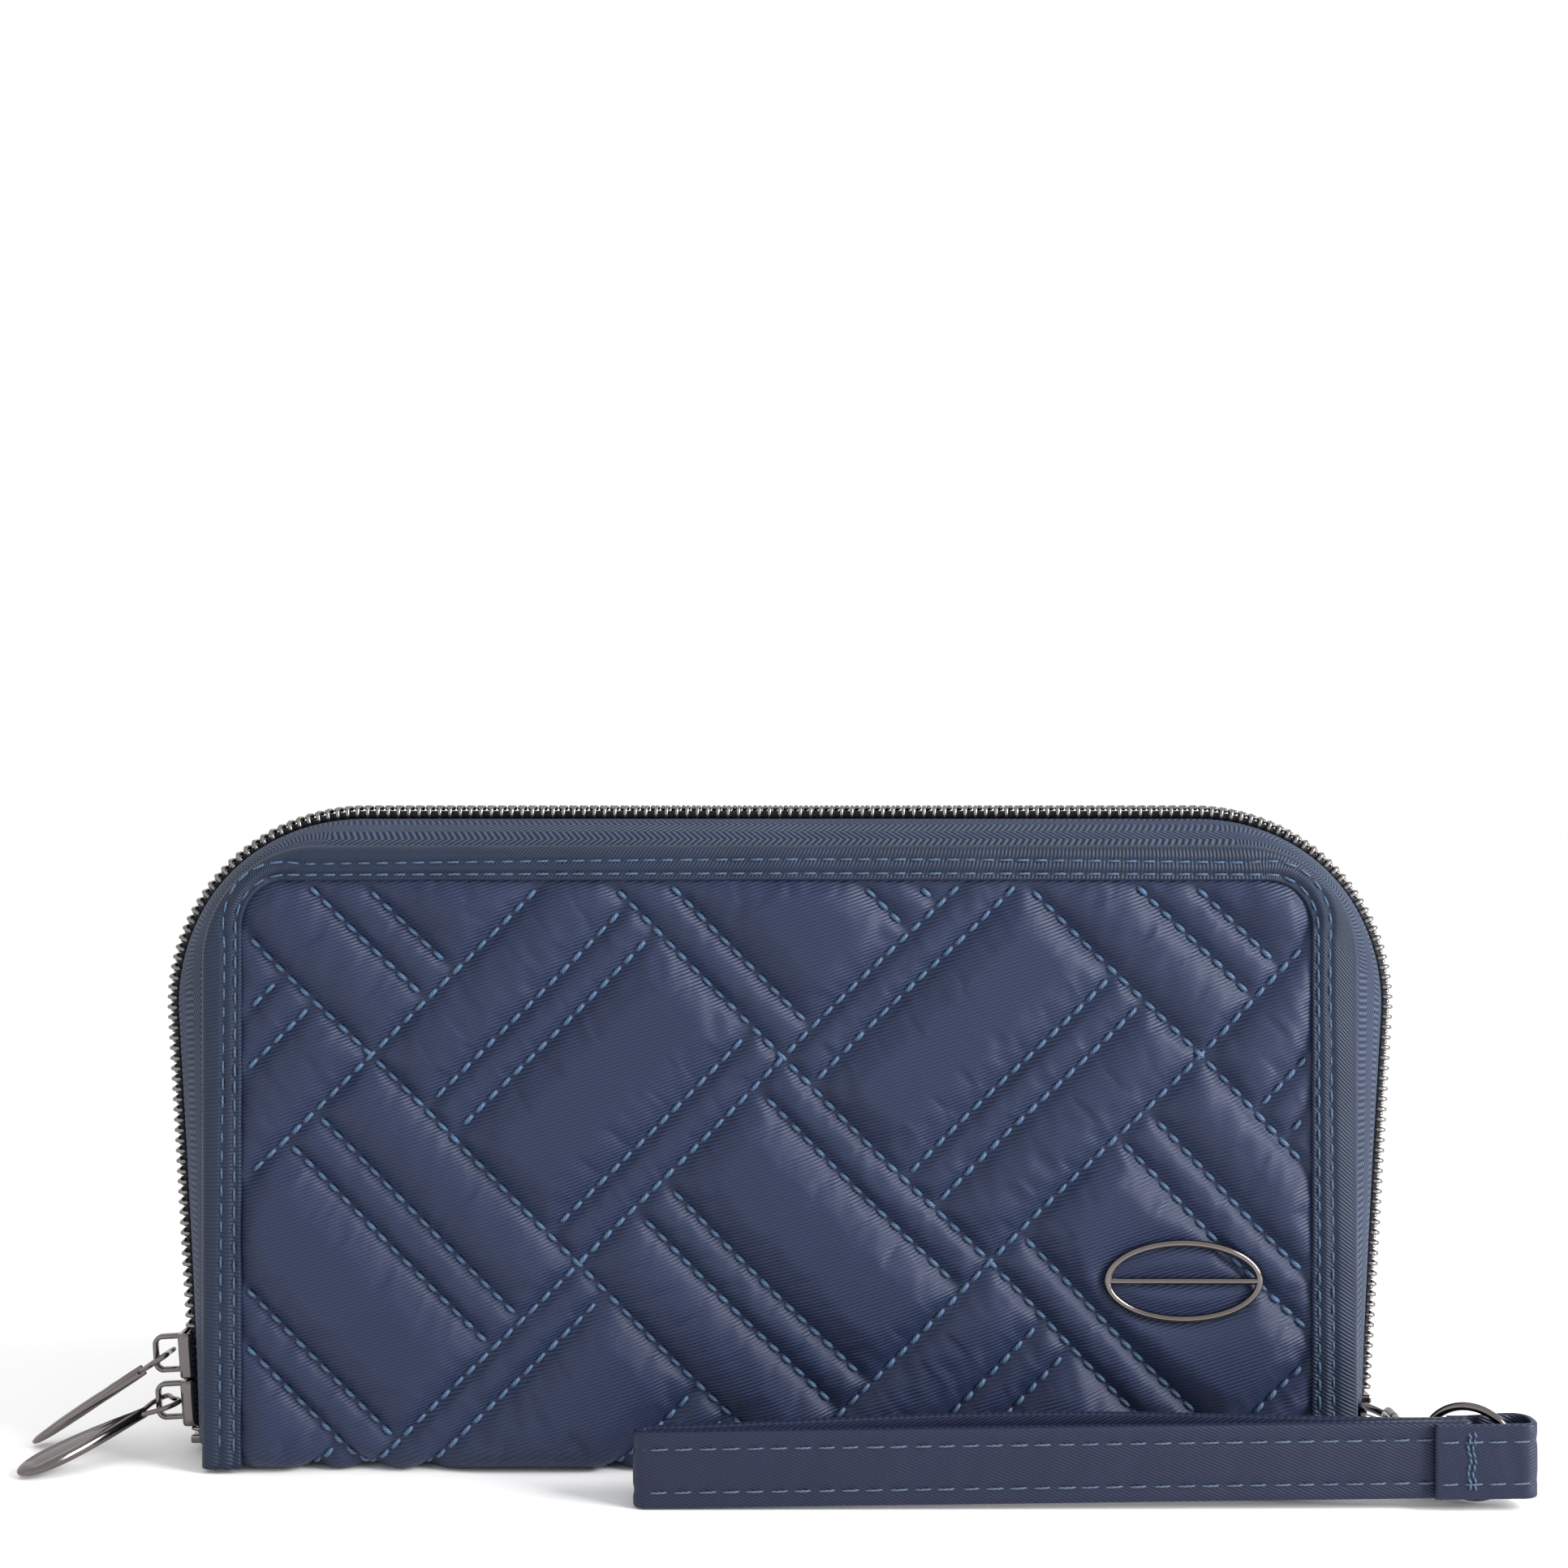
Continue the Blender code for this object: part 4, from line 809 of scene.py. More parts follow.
def seam_paths(low, high):
    """Every seam as a line of places on the pattern."""
    first_u = int((low - U_START) // PERIOD)
    last_u = int((high - U_START) // PERIOD) + 1
    paths = []
    run = np.arange(low, high, 0.6)
    for k in range(first_u, last_u + 1):
        paths.append((np.full(len(run), U_START + k * PERIOD), run))
        paths.append((run, np.full(len(run), V_START + k * PERIOD)))
    inside = np.linspace(0.9, PERIOD - 0.9, 82)
    for i in range(first_u, last_u + 1):
        for j in range(first_u, last_u + 1):
            corner_u = U_START + i * PERIOD
            corner_v = V_START + j * PERIOD
            for seam in seam_table(j)[1:4]:
                if (i + j) % 2 == 0:
                    paths.append((np.full(len(inside), corner_u + seam), corner_v + inside))
                else:
                    paths.append((corner_u + inside, np.full(len(inside), corner_v + seam)))
    return paths


def runs_of(mask):
    """Start and end of each stretch where mask holds."""
    edges = np.flatnonzero(np.diff(np.concatenate([[0], mask.astype(int), [0]])))
    return list(zip(edges[::2], edges[1::2]))


def sew_quilt(top, bottom, rng, relief):
    shells = Shells()
    span = (HALF_W + max(abs(top), abs(bottom))) / ROOT2 + 2
    for u, v in seam_paths(-span, span):
        flat = flat_place(u, v)
        keep = (flat[:, 1] < top) & (flat[:, 1] > bottom) & (band_distance(flat) > 0.1)
        keep &= np.abs(flat[:, 0]) < HALF_W - BAND_LEFT
        for start, end in runs_of(keep):
            if end - start < 6:
                continue
            place, outward = wrap(flat[start:end])
            height = quilt_height(u[start:end], v[start:end], flat[start:end], outward, relief)
            line = place + outward * (np.clip(height, -SEAM_DEPTH - 0.1, 0.2)[:, None] + 0.14)
            sew(shells, line, outward, QUILT_PITCH, QUILT_STITCH, 0.4, rng)
    return shells


def make_quilt():
    rng = np.random.default_rng(7)
    top = PANEL_H - QUILT_INSET
    rear_top = REAR_START - (top - FOLD_Z)
    rear_foot = UNDER_END + 0.9
    relief = simulate_quilt(top, UNDER_END, 1)
    points, quads, flat = quilt_surface(top, UNDER_END, 1, relief)
    front = surface_piece(
        "front_quilt", points, quads, QUILT_T, "quilt", "front_shell", ("front_panel", "spine_panel"), flat
    )
    seams = sew_quilt(top, UNDER_END + 1.5, rng, relief)
    seams.piece("front_quilt_thread", "quilt_thread", "front_shell")
    relief = simulate_quilt(rear_foot, rear_top, -1)
    points, quads, flat = quilt_surface(rear_foot, rear_top, -1, relief)
    rear = surface_piece("rear_quilt", points, quads, QUILT_T, "quilt", None, ("rear_panel",), flat)
    seams = sew_quilt(UNDER_END - 0.5, rear_top, rng, relief)
    threads = seams.piece("rear_quilt_thread", "quilt_thread", None)
    for piece in (rear, threads):
        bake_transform(piece)


# Binding


def outline(left, right, top, foot, radius, steps):
    """An arch from the left foot over the top to the right foot. steps: down a side, round a corner, over."""
    down, arc, over = steps

    def straight(start, end, count):
        t = np.arange(count)[:, None] / count
        return np.array(start) * (1 - t) + np.array(end) * t

    def corner(x, start, count):
        angle = np.radians(start - 90 * np.arange(count) / count)
        return np.stack([x + radius * np.cos(angle), top - radius + radius * np.sin(angle)], -1)

    return np.concatenate(
        [
            straight((left, foot), (left, top - radius), down),
            corner(left + radius, 180, arc),
            straight((left + radius, top), (right - radius, top), over),
            corner(right - radius, 90, arc),
            straight((right, top - radius), (right, foot), down),
            [(right, foot)],
        ]
    )


BAND_STEPS = (84, 30, 150)
BAND_OUT = outline(-HALF_W, HALF_W, PANEL_H, BAND_FOOT, CORNER_R, BAND_STEPS)
BAND_IN = outline(
    BAND_LEFT - HALF_W, HALF_W - BAND_RIGHT, PANEL_H - BAND_TOP, BAND_FOOT, INNER_R, BAND_STEPS
)
BAND_WIDTH = np.linalg.norm(BAND_IN - BAND_OUT, axis=1)
BAND_RUN = run_along(BAND_OUT)


def band_profile(width, run):
    """Line of the folded binding, from hem to hem: (distance in from the edge, depth)."""
    face = BINDING_Y
    back = BINDING_BACK
    middle = (face + back) / 2
    half = (face - back) / 2
    points = [(width - 0.9, back + 0.9), (width - 0.1, back + 0.8), (width, back + 0.35), (width - 0.4, back)]
    points += [(place, back) for place in np.linspace(width - 1.2, 2.2, 6)]
    for angle in np.radians(np.linspace(-90, 90, 11)):
        points.append((1.6 * (1 - math.cos(angle)), middle + half * math.sin(angle)))
    gather = 0.5 + 0.5 * math.cos(2 * math.pi * run / EDGE_PITCH)
    for place in np.linspace(2.0, width - 0.4, 17):
        dip = sum(math.exp(-(((place - width + row) / 0.62) ** 2)) for row in BAND_ROWS)
        crown = 0.3 * math.sin(math.pi * min(max((place - 1.0) / (width - 1.0), 0), 1))
        points.append((place, face + crown - dip * (0.3 + 0.18 * gather)))
    hem = ((0.1, 0.22), (0, 0.6), (0.15, 1.0), (0.9, 1.15))
    return points + [(width - inset, face - depth) for inset, depth in hem]


def make_binding(side, label, body):
    columns = []
    flats = []
    for k, (outer, inner) in enumerate(zip(BAND_OUT, BAND_IN)):
        width = BAND_WIDTH[k]
        profile = np.array(band_profile(width, BAND_RUN[k]))
        wobble = 0.12 * math.sin(BAND_RUN[k] / 3.1) * math.sin(BAND_RUN[k] / 13.7)
        place = outer + (inner - outer) * profile[:, :1] / width
        depth = profile[:, 1] + wobble * (profile[:, 1] > BINDING_Y - 0.6)
        columns.append(np.stack([place[:, 0], side * depth, place[:, 1]], -1))
        across = run_along(profile)
        flats.append(np.stack([0 * across + BAND_RUN[k], across], -1))
    count = len(columns[0])
    index = np.arange(len(columns) * count).reshape(len(columns), count)
    quads = np.stack([index[:-1, :-1], index[1:, :-1], index[1:, 1:], index[:-1, 1:]], -1).reshape(-1, 4)
    if side == -1:
        quads = quads[:, ::-1]
    points = np.concatenate(columns)
    name = f"{label}_edge_binding"
    nodes = (f"{label}_binding",)
    band = surface_piece(name, points, quads, 0.45, "binding", body, nodes, np.concatenate(flats))
    rng = np.random.default_rng(11)
    shells = Shells()
    for row in BAND_ROWS:
        share = (1 - row / BAND_WIDTH)[:, None]
        place = BAND_OUT + (BAND_IN - BAND_OUT) * share
        line = np.stack([place[:, 0], np.full(len(place), side * (BINDING_Y - 0.1)), place[:, 1]], -1)
        sew(shells, line[2:], (0.0, side, 0.0), EDGE_PITCH, EDGE_STITCH, 0.2, rng, 0.03)
    shells.piece(f"{label}_binding_thread", "edge_thread", body)


# Zip


def chain_x(z):
    return -(HALF_W + CHAIN_BASE_OUT) - CHAIN_LEAN * (z - CHAIN_FOOT_Z)


def zip_lines(left_foot, right_foot):
    """The cover's edge and the chain's outer line, matched point for point."""
    top = PANEL_H + CHAIN_TOP_OUT
    lean = math.atan(CHAIN_LEAN)
    centre_z = top - CHAIN_CORNER_R
    centre_x = chain_x(centre_z) + CHAIN_CORNER_R * math.sqrt(1 + CHAIN_LEAN**2)
    turn_z = centre_z - CHAIN_CORNER_R * math.sin(lean)
    edge_z = PANEL_H - CORNER_R
    chain = []
    edge = []
    for foot, side in ((left_foot, 1), (right_foot, -1)):
        rise = np.linspace(0, 1, 60)[:-1]
        z = foot + (turn_z - foot) * rise
        run_chain = np.stack([chain_x(z), z], -1)
        run_edge = np.stack([0 * z - HALF_W, foot + (edge_z - foot) * rise**0.9], -1)
        angle = np.linspace(math.pi + lean, math.pi / 2, 40)
        ray = np.stack([np.cos(angle), np.sin(angle)], -1)
        arc_chain = np.array([centre_x, centre_z]) + CHAIN_CORNER_R * ray
        angle = np.linspace(math.pi, math.pi / 2, 40)
        ray = np.stack([np.cos(angle), np.sin(angle)], -1)
        arc_edge = np.array([CORNER_R - HALF_W, edge_z]) + CORNER_R * ray
        share = np.linspace(0, 1, 60)[1:]
        top_chain = np.stack([centre_x * (1 - share), 0 * share + top], -1)
        top_edge = np.stack([(CORNER_R - HALF_W) * (1 - share), 0 * share + PANEL_H], -1)
        half_chain = np.concatenate([run_chain, arc_chain, top_chain]) * (side, 1)
        half_edge = np.concatenate([run_edge, arc_edge, top_edge]) * (side, 1)
        if side == -1:
            half_chain, half_edge = half_chain[-2::-1], half_edge[-2::-1]
        chain.append(half_chain)
        edge.append(half_edge)
    return np.concatenate(edge), np.concatenate(chain)


def chain_normals(chain):
    tangent = unit(np.gradient(chain, axis=0))
    return np.stack([-tangent[:, 1], tangent[:, 0]], -1)


def tape_points(edge, chain):
    """Flat section of a tape half from its seam to the chain: (places in XZ, depth)."""
    way = unit(chain - edge)
    flat = chain - chain_normals(chain) * 2.45
    made = [(edge - way * 3.4, 11.15), (edge - way * 1.5, 11.1), (edge - way * 0.2, 11.0)]
    for share in np.linspace(0.12, 1, 12):
        bow = 0.9 * math.sin(math.pi * share) ** 0.8
        depth = 11.0 + (3.6 - 11.0) * share
        made.append((edge * (1 - share) + flat * share + chain_normals(chain) * bow, depth))
    made += [(flat, 2.9), (flat, 2.2), (flat, 1.4), (flat, 0.75)]
    return made


def make_tape(side, label, body, nodes):
    edge, chain = zip_lines(CHAIN_FOOT_Z, RIGHT_FOOT_Z)
    columns = tape_points(edge, chain)
    run = run_along(chain)
    across = 0.0
    rows = []
    flats = []
    last = None
    for place, depth in columns:
        row = np.stack([place[:, 0], np.full(len(place), side * depth), place[:, 1]], -1)
        if last is not None:
            across = across + float(np.linalg.norm(row - last, axis=1).mean())
        last = row
        rows.append(row)
        flats.append(np.stack([run, np.full(len(run), across)], -1))
    index = np.arange(len(rows) * len(run)).reshape(len(rows), len(run))
    corners = (index[:-1, :-1], index[:-1, 1:], index[1:, 1:], index[1:, :-1])
    quads = np.stack(corners, -1).reshape(-1, 4)
    if side == 1:
        quads = quads[:, ::-1]
    points = np.concatenate(rows)
    weave = np.concatenate(flats)
    tape = surface_piece(f"{label}_woven_tape", points, quads, 0.5, "tape", body, nodes, weave)
    return tape


TOOTH_PATH = np.array(
    [
        (2.75, -2.35),
        (2.98, -1.7),
        (2.9, -0.95),
        (2.45, -0.5),
        (1.6, -0.42),
        (0.7, -0.42),
        (-0.05, -0.5),
        (-0.35, -0.95),
    ]
)
TOOTH_GIRTH = np.array([0.75, 0.95, 1.0, 1.0, 0.95, 0.92, 1.1, 0.9])


def make_teeth(side, label, body, nodes, shift):
    """Coil teeth of one half: bent bars that reach over the middle, between those of the other half."""
    _, chain = zip_lines(CHAIN_FOOT_Z, RIGHT_FOOT_Z)
    run = run_along(chain)
    tangent = unit(np.gradient(chain, axis=0))
    outward = chain_normals(chain)
    facts = np.concatenate([chain, outward, tangent], 1)
    shells = Shells()
    at = np.arange(0.9 + shift * TOOTH_PITCH, run[-1] - 0.5, TOOTH_PITCH)
    found = resample_by(run, facts, at)
    sides = 8
    angles = np.arange(sides) * 2 * math.pi / sides
    path = smooth_line(TOOTH_PATH, 0.55)
    share = np.linspace(0, 1, len(path))
    girth = np.interp(share, np.linspace(0, 1, len(TOOTH_GIRTH)), TOOTH_GIRTH) * TOOTH_R
    girth[[0, -1]] *= 0.45
    line = np.stack([path[:, 0], path[:, 1], 0.32 * np.linspace(-0.5, 0.5, len(path))], -1)
    tangents = unit(np.gradient(line, axis=0))
    normals = unit(np.cross(tangents, (0.0, 0.0, 1.0)))
    others = np.cross(tangents, normals)
    ring = normals[:, None] * np.cos(angles)[None, :, None] + others[:, None] * np.sin(angles)[None, :, None]
    rings = line[:, None] + ring * girth[:, None, None]
    template, faces = rings_piece(rings)
    if side == 1:
        faces = [face[::-1] for face in faces]
    for x, z, out_x, out_z, on_x, on_z in found:
        depth = side * template[:, 0]
        px = x + out_x * template[:, 1] + on_x * template[:, 2]
        pz = z + out_z * template[:, 1] + on_z * template[:, 2]
        shells.add(np.stack([px, depth, pz], -1), faces)
    teeth = shells.piece(f"{label}_teeth", "coil", body, nodes)
    # Dark cord under the coil: partly the real core cord, partly painted shade between the teeth and the
    # tape.
    under = chain - outward * 1.75
    line = np.stack([under[:, 0], np.full(len(under), side * 1.75), under[:, 1]], -1)
    points, faces = wire(line[::2], 0.68, 8)
    flat = np.stack([np.linalg.norm(points, axis=1), np.tile(angles * 0.6, len(points) // 8)], -1)
    cord = make_piece(f"{label}_coil_cord_painted_shade", points, faces, "cord", body, (), flat)
    return teeth, cord


def make_zip():
    make_tape(-1, "front_zip", "front_shell", ("front_zip_tape",))
    make_teeth(-1, "front_zip", "front_shell", ("front_zip_chain",), 0.0)
    tape = make_tape(1, "rear_zip", None, ("rear_zip_tape", "left_end_tape", "right_end_tape"))
    chains = ("rear_zip_chain", "left_end_chain", "right_end_chain")
    for piece in (tape, *make_teeth(1, "rear_zip", None, chains, 0.5)):
        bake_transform(piece)
    for node in ("left_zip_stop", "right_zip_stop"):
        give(node, "gunmetal")


def give(node, material):
    """A CAD node keeps its shape and takes a finished material."""
    mesh = frame["nodes"][node].data
    mesh.materials.clear()
    mesh.materials.append(MATERIALS[material])


# Metal pieces

JOINTS = {joint["name"]: joint for joint in frame["record"]["behaviour"]["joints"]}
LOWER_SLIDER_Z = 8.6
UPPER_SLIDER_Z = 17.0
SLIDER_TOP = 1.2
SLIDER_UNDER = -3.7
BRIDGE_BASE = 1.5
LOWER_TURN = (42.0, 15.0)
UPPER_TURN = (-3.0, 33.5)
PULL_L = 29.5
PULL_W = 7.0
PULL_T = 2.4


def joint_place(name):
    return Vector(JOINTS[name]["pos_m"]) / MM


def slider_frame(name, z):
    """Frame of a slider on the chain's outer line: X outwards, Z up along the chain."""
    up = Vector(JOINTS[name]["axis"]).normalized()
    out = Vector((-up.z, 0, up.x))
    turn = Matrix((out, up.cross(out), up)).transposed().to_4x4()
    return Matrix.Translation((chain_x(z), 0, z)) @ turn


def placed(points, matrix):
    turn = np.array(matrix.to_3x3())
    return np.asarray(points) @ turn.T + np.array(matrix.translation)


def slider_shells(half, wide, narrow, wall, drop, under, under_half):
    """A slider's outer channel, its inner plate and the post that parts the chain."""
    shells = Shells()
    rings = []
    trims = ((-1, 0.5), (-0.97, 0.2), (-0.88, 0), (-0.5, 0), (0, 0))
    ends = trims + tuple((-share, trim) for share, trim in trims[-2::-1])
    for share, trim in ends:
        w = narrow + (wide - narrow) * (share + 1) / 2 - trim * 0.5
        top = SLIDER_TOP - trim * 0.7
        shoulder = ((0.75, 0), (0.35, 0.12), (0.1, 0.42), (0, 1.0))
        half_ring = [(drop, w)] + [(top - fall, w - inset) for fall, inset in shoulder]
        middle = [(top + 0.12 - trim * 0.1, 0)]
        outside = half_ring + middle + [(x, -y) for x, y in half_ring[::-1]]
        inner = w - wall + trim * 0.4
        inside = [(drop, -inner), (0.3, -inner), (0.3, inner), (drop, inner)]
        rings.append([(x, y, half * share) for x, y in outside + inside])
    shells.add(*rings_piece(rings))
    rings = []
    for share, trim in ends:
        w = under_half - trim * 0.5
        low = under - 0.9 + trim * 0.5
        section = [(under, w), (low + 0.4, w), (low + 0.1, w - 0.3), (low, w - 0.8)]
        rings.append([(x, y, half * share) for x, y in section + [(x, -y) for x, y in section[::-1]]])
    shells.add(*rings_piece(rings))
    rings = []
    for x in (under - 0.3, under + 0.4, -0.4, 0.6):
        flare = 0.1 if x in (under - 0.3, 0.6) else 0.0
        angles = circle(12)
        middle = half - 1.6
        rings.append([(x, (0.3 + flare) * math.cos(a), middle + (1.0 + flare) * math.sin(a)) for a in angles])
    shells.add(*rings_piece(rings))
    return shells


def moved(shells, matrix):
    shells.points = [placed(points, matrix) for points in shells.points]
    return shells


def band_sweep(points, across, half_out, half_across, sides=12):
    """A rounded flat bar along a plane line. across is the direction of its width."""
    points = np.asarray(points, float)
    tangents = unit(np.gradient(points, axis=0))
    across = np.asarray(across, float)
    outward = unit(np.cross(tangents, across))
    angles = np.arange(sides) * 2 * math.pi / sides
    c = np.sign(np.cos(angles)) * np.abs(np.cos(angles)) ** 0.55
    s = np.sign(np.sin(angles)) * np.abs(np.sin(angles)) ** 0.55
    size = np.ones(len(points))
    size[[0, -1]] = 0.85
    ring = outward[:, None] * (c * half_out)[None, :, None]
    ring = ring + across[None, None] * (s * half_across)[None, :, None]
    return rings_piece(points[:, None] + ring * size[:, None, None])


def bridge_line():
    top = BRIDGE_BASE + 4.55
    foot = BRIDGE_BASE + 0.1
    points = [(foot, -2.95), (top - 1.35, -2.95)]
    bends = np.linspace(0.2, math.pi / 2, 7)
    points += [(top - 1.35 + 1.35 * math.sin(a), -1.6 - 1.35 * math.cos(a)) for a in bends]
    points += [(x, -z) for x, z in points[::-1]]
    return [(x, 0, z) for x, z in points]


def pull_shells(length, width, thick, eye_length, eye_half, wire_r):
    """Teardrop pull with a raised rim round a dished face, and its wire eye, along X from the pivot."""
    shells = Shells()
    neck = eye_length + 2 * wire_r
    angles = circle(28)
    rings = []
    for share in (1 - np.cos(np.linspace(0, math.pi, 44))) / 2:
        x = neck - 0.6 + (length - neck + 0.6) * share
        swell = math.sqrt(max(1 - max(share * 1.28 - 0.28, 0) ** 7, 0.0009))
        half = (0.1 + 0.9 * math.sin(min(share / 0.78, 1) * math.pi / 2)) * width / 2 * swell
        height = (0.8 + 0.2 * math.sin(share * math.pi)) * thick / 2 * min(swell + 0.05, 1)
        inside = min(max((half - 1.0) / 1.6, 0), 1) * min(max((length - 1.6 - x) / 1.4, 0), 1)
        y = half * np.cos(angles)
        lift = np.sign(np.sin(angles)) * np.abs(np.sin(angles)) ** 0.5 * height
        rim = np.clip((np.abs(y) - (half - 1.15)) / 0.45, 0, 1)
        dish = 0.34 * inside * (1 - rim * rim * (3 - 2 * rim))
        rings.append(np.stack([np.full(28, x), y, lift * (1 - dish)], -1))
    shells.add(*rings_piece(rings))
    eye = [(0, -eye_half, 0), (0, 0, 0), (0, eye_half, 0), (eye_length * 0.55, eye_half, 0)]
    eye += [(neck, wire_r * 1.2, 0), (neck, -wire_r * 1.2, 0), (eye_length * 0.55, -eye_half, 0)]
    shells.add(*wire(smooth_line(eye, 0.25, True), wire_r, 12, True))
    return shells


def pull_frame(name, turn):
    yaw, droop = turn
    facing = Matrix.Rotation(math.radians(180 + yaw), 4, "Z") @ Matrix.Rotation(math.radians(droop), 4, "Y")
    return Matrix.Translation(joint_place(name)) @ facing


def make_sliders():
    for label, turn, height in (("lower", LOWER_TURN, LOWER_SLIDER_Z), ("upper", UPPER_TURN, UPPER_SLIDER_Z)):
        at = slider_frame(f"{label}_slider_slide", height)
        shells = moved(slider_shells(4.0, 4.1, 3.6, 0.5, -1.9, SLIDER_UNDER, 3.1), at)
        shells.piece(f"{label}_slider_body", "gunmetal", f"{label}_slider", (f"{label}_slider",))
        points, faces = band_sweep(smooth_line(bridge_line(), 0.35), (0, 1, 0), 0.45, 0.8)
        nodes = (f"{label}_slider_bridge",)
        make_piece(f"{label}_bridge", placed(points, at), faces, "gunmetal", f"{label}_slider", nodes)
        at = pull_frame(f"{label}_pull_hinge", turn)
        pull = moved(pull_shells(PULL_L, PULL_W, PULL_T, 5.2, 2.4, 0.45), at)
        pull.piece(f"{label}_teardrop_pull", "gunmetal", f"{label}_pull", (f"{label}_pull",))


def make_badge():
    """Plain oval ring with a bar across it."""
    angles = circle(96)
    face = -(BADGE_BACK + BADGE_WIRE)
    oval = [(BADGE_X + BADGE_A * math.cos(a), face, BADGE_Z + BADGE_B * math.sin(a)) for a in angles]
    shells = Shells()
    shells.add(*wire(oval, BADGE_WIRE, 16, True))
    reach = BADGE_A - 0.25
    bar = [(BADGE_X + reach * share, face, BADGE_Z) for share in np.linspace(-1, 1, 30)]
    shells.add(*wire(bar, BADGE_WIRE * 0.92, 16))
    shells.piece("badge_oval", "gunmetal", "front_shell", ("badge",))


TAB_Y = (-1.0, 7.0)
DRING = (102.6, 3.0, 6.2)
CLASP_X = 108.2
CLASP_Z = 3.8
HOOK_R = 0.8
HOOK_HALF = 2.7
BARREL = (-11.6, -19.6)
EYE_Y = -27.0
EYE_R = 2.2
RING_R = 7.4
RING_WIRE = 0.7
RING_YAW = math.radians(28.5)


def turned(profile, x, z, sides=32):
    """A piece turned about a line along Y: profile is (y, radius)."""
    angles = circle(sides)
    rings = [[(x + r * math.cos(a), y, z + r * math.sin(a)) for a in angles] for y, r in profile]
    return rings_piece(rings)


def make_d_ring():
    line = [(0, y, 0) for y in (5.0, 2.5, 0, -2.5, -5.0)]
    angles = np.radians(np.linspace(-90, 90, 25))
    line += [(2.9 + 5 * math.cos(a), 5 * math.sin(a), 0) for a in angles]
    at = Matrix.Translation(DRING) @ Matrix.Rotation(math.radians(18), 4, "Y")
    points, faces = wire(smooth_line(line, 0.5, True), RING_WIRE, 14, True)
    make_piece("hardware_d_ring", placed(points, at), faces, "gunmetal", "d_ring", ("d_ring",))


def make_clasp():
    shells = Shells()
    tip = 2.4 - HOOK_R - HOOK_HALF
    low = CLASP_Z - HOOK_HALF
    bow = [(BARREL[0] - 1, CLASP_Z - 1.5), (BARREL[0] + 1.2, low), (-4.6, low)]
    for a in np.radians(range(-90, 91, 15)):
        bow.append((tip + HOOK_HALF * math.cos(a), CLASP_Z + HOOK_HALF * math.sin(a)))
    bow.append((tip - 3.4, CLASP_Z + HOOK_HALF))
    shells.add(*wire(smooth_line([(CLASP_X, y, z) for y, z in bow], 0.4), HOOK_R, 16))
    front, back = BARREL
    groove = (front + back) / 2
    profile = [(front, 1.3), (front - 0.15, 2.0), (front - 0.6, 2.3), (groove + 0.5, 2.3)]
    profile += [(groove + 0.3, 2.05), (groove - 0.3, 2.05), (groove - 0.5, 2.3)]
    profile += [(back + 0.7, 2.3), (back + 0.15, 2.0), (back, 1.35)]
    shells.add(*turned(profile, CLASP_X, CLASP_Z))
    gate_y, gate_z = front + 1.2, CLASP_Z + HOOK_HALF
    for side in (-1, 1):
        rings = []
        for x in (0.95, 1.05, 1.35, 1.45):
            ear = [(gate_y - 3.4, gate_z - 3.2), (gate_y - 3.0, gate_z - 0.6), (gate_y - 0.7, gate_z + 0.6)]
            for a in np.radians((80, 45, 0, -45, -80)):
                ear.append((gate_y + 0.8 * math.cos(a), gate_z + 0.85 * math.sin(a)))
            ear += [(gate_y - 0.4, gate_z - 3.2)]
            ring = [(CLASP_X + side * x, y, z) for y, z in ear]
            rings.append(ring if side == 1 else ring[::-1])
        shells.add(*rings_piece(rings))
    pin = [(CLASP_X + x, gate_y, gate_z) for x in np.linspace(-1.5, 1.5, 5)]
    shells.add(*wire(pin, 0.35, 12))
    shells.piece("swivel_hook", "gunmetal", "clasp", ("clasp_hook",))
    line = [(CLASP_X, y, gate_z + lift) for y, lift in ((gate_y - 1.9, 0.75), (gate_y - 0.8, 0.25))]
    line += [(CLASP_X, y, gate_z) for y in (gate_y + 0.2, -8.0, tip - 3.7)]
    points, faces = wire(smooth_line(line, 0.4), 0.75, 14)
    make_piece("hook_gate", points, faces, "gunmetal", "gate", ("clasp_gate",))
    eye = Shells()
    ring = [(CLASP_X + EYE_R * math.cos(a), EYE_Y + EYE_R * math.sin(a), CLASP_Z) for a in circle(48)]
    eye.add(*wire(ring, 0.55, 14, True))
    stem = [(EYE_Y + EYE_R - 0.3, 0.5), (EYE_Y + EYE_R + 0.1, 0.85), (back - 0.9, 0.9), (back - 0.85, 1.5)]
    stem += [(back - 0.3, 1.5), (back - 0.25, 0.9), (back + 1.5, 0.88)]
    eye.add(*turned(stem, CLASP_X, CLASP_Z, 24))
    eye.piece("swivel_eye_ring", "gunmetal", "swivel", ("swivel_eye",))


RING_WAY = np.array([math.cos(RING_YAW), -math.sin(RING_YAW), 0])
RING_CENTRE = np.array(sum(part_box("strap_ring"), Vector()) / 2) / MM


def make_strap_ring():
    rise = np.array([0, 0, RING_R])
    places = [RING_CENTRE + RING_WAY * RING_R * math.cos(a) + rise * math.sin(a) for a in circle(72)]
    points, faces = wire(places, RING_WIRE, 16, True)
    make_piece("wristlet_ring", points, faces, "gunmetal", "strap_ring", ("strap_ring",))


# Strap

STRAP_H = 12.5
STRAP_T = 1.6
STRAP_LEFT = -24.0
STRAP_LIFT = 1.85
STRAP_FOLD = 1.5
WRAP_L = 13.6
WRAP_T = 1.0
WRAP_H = 12.1


FOLD_X, FOLD_Y = (RING_CENTRE + RING_WAY * RING_R)[:2]
STRAP_FRONT = FOLD_Y - 0.095
LOOP_END = FOLD_X - 7.4
WRAP_GAP = 0.3


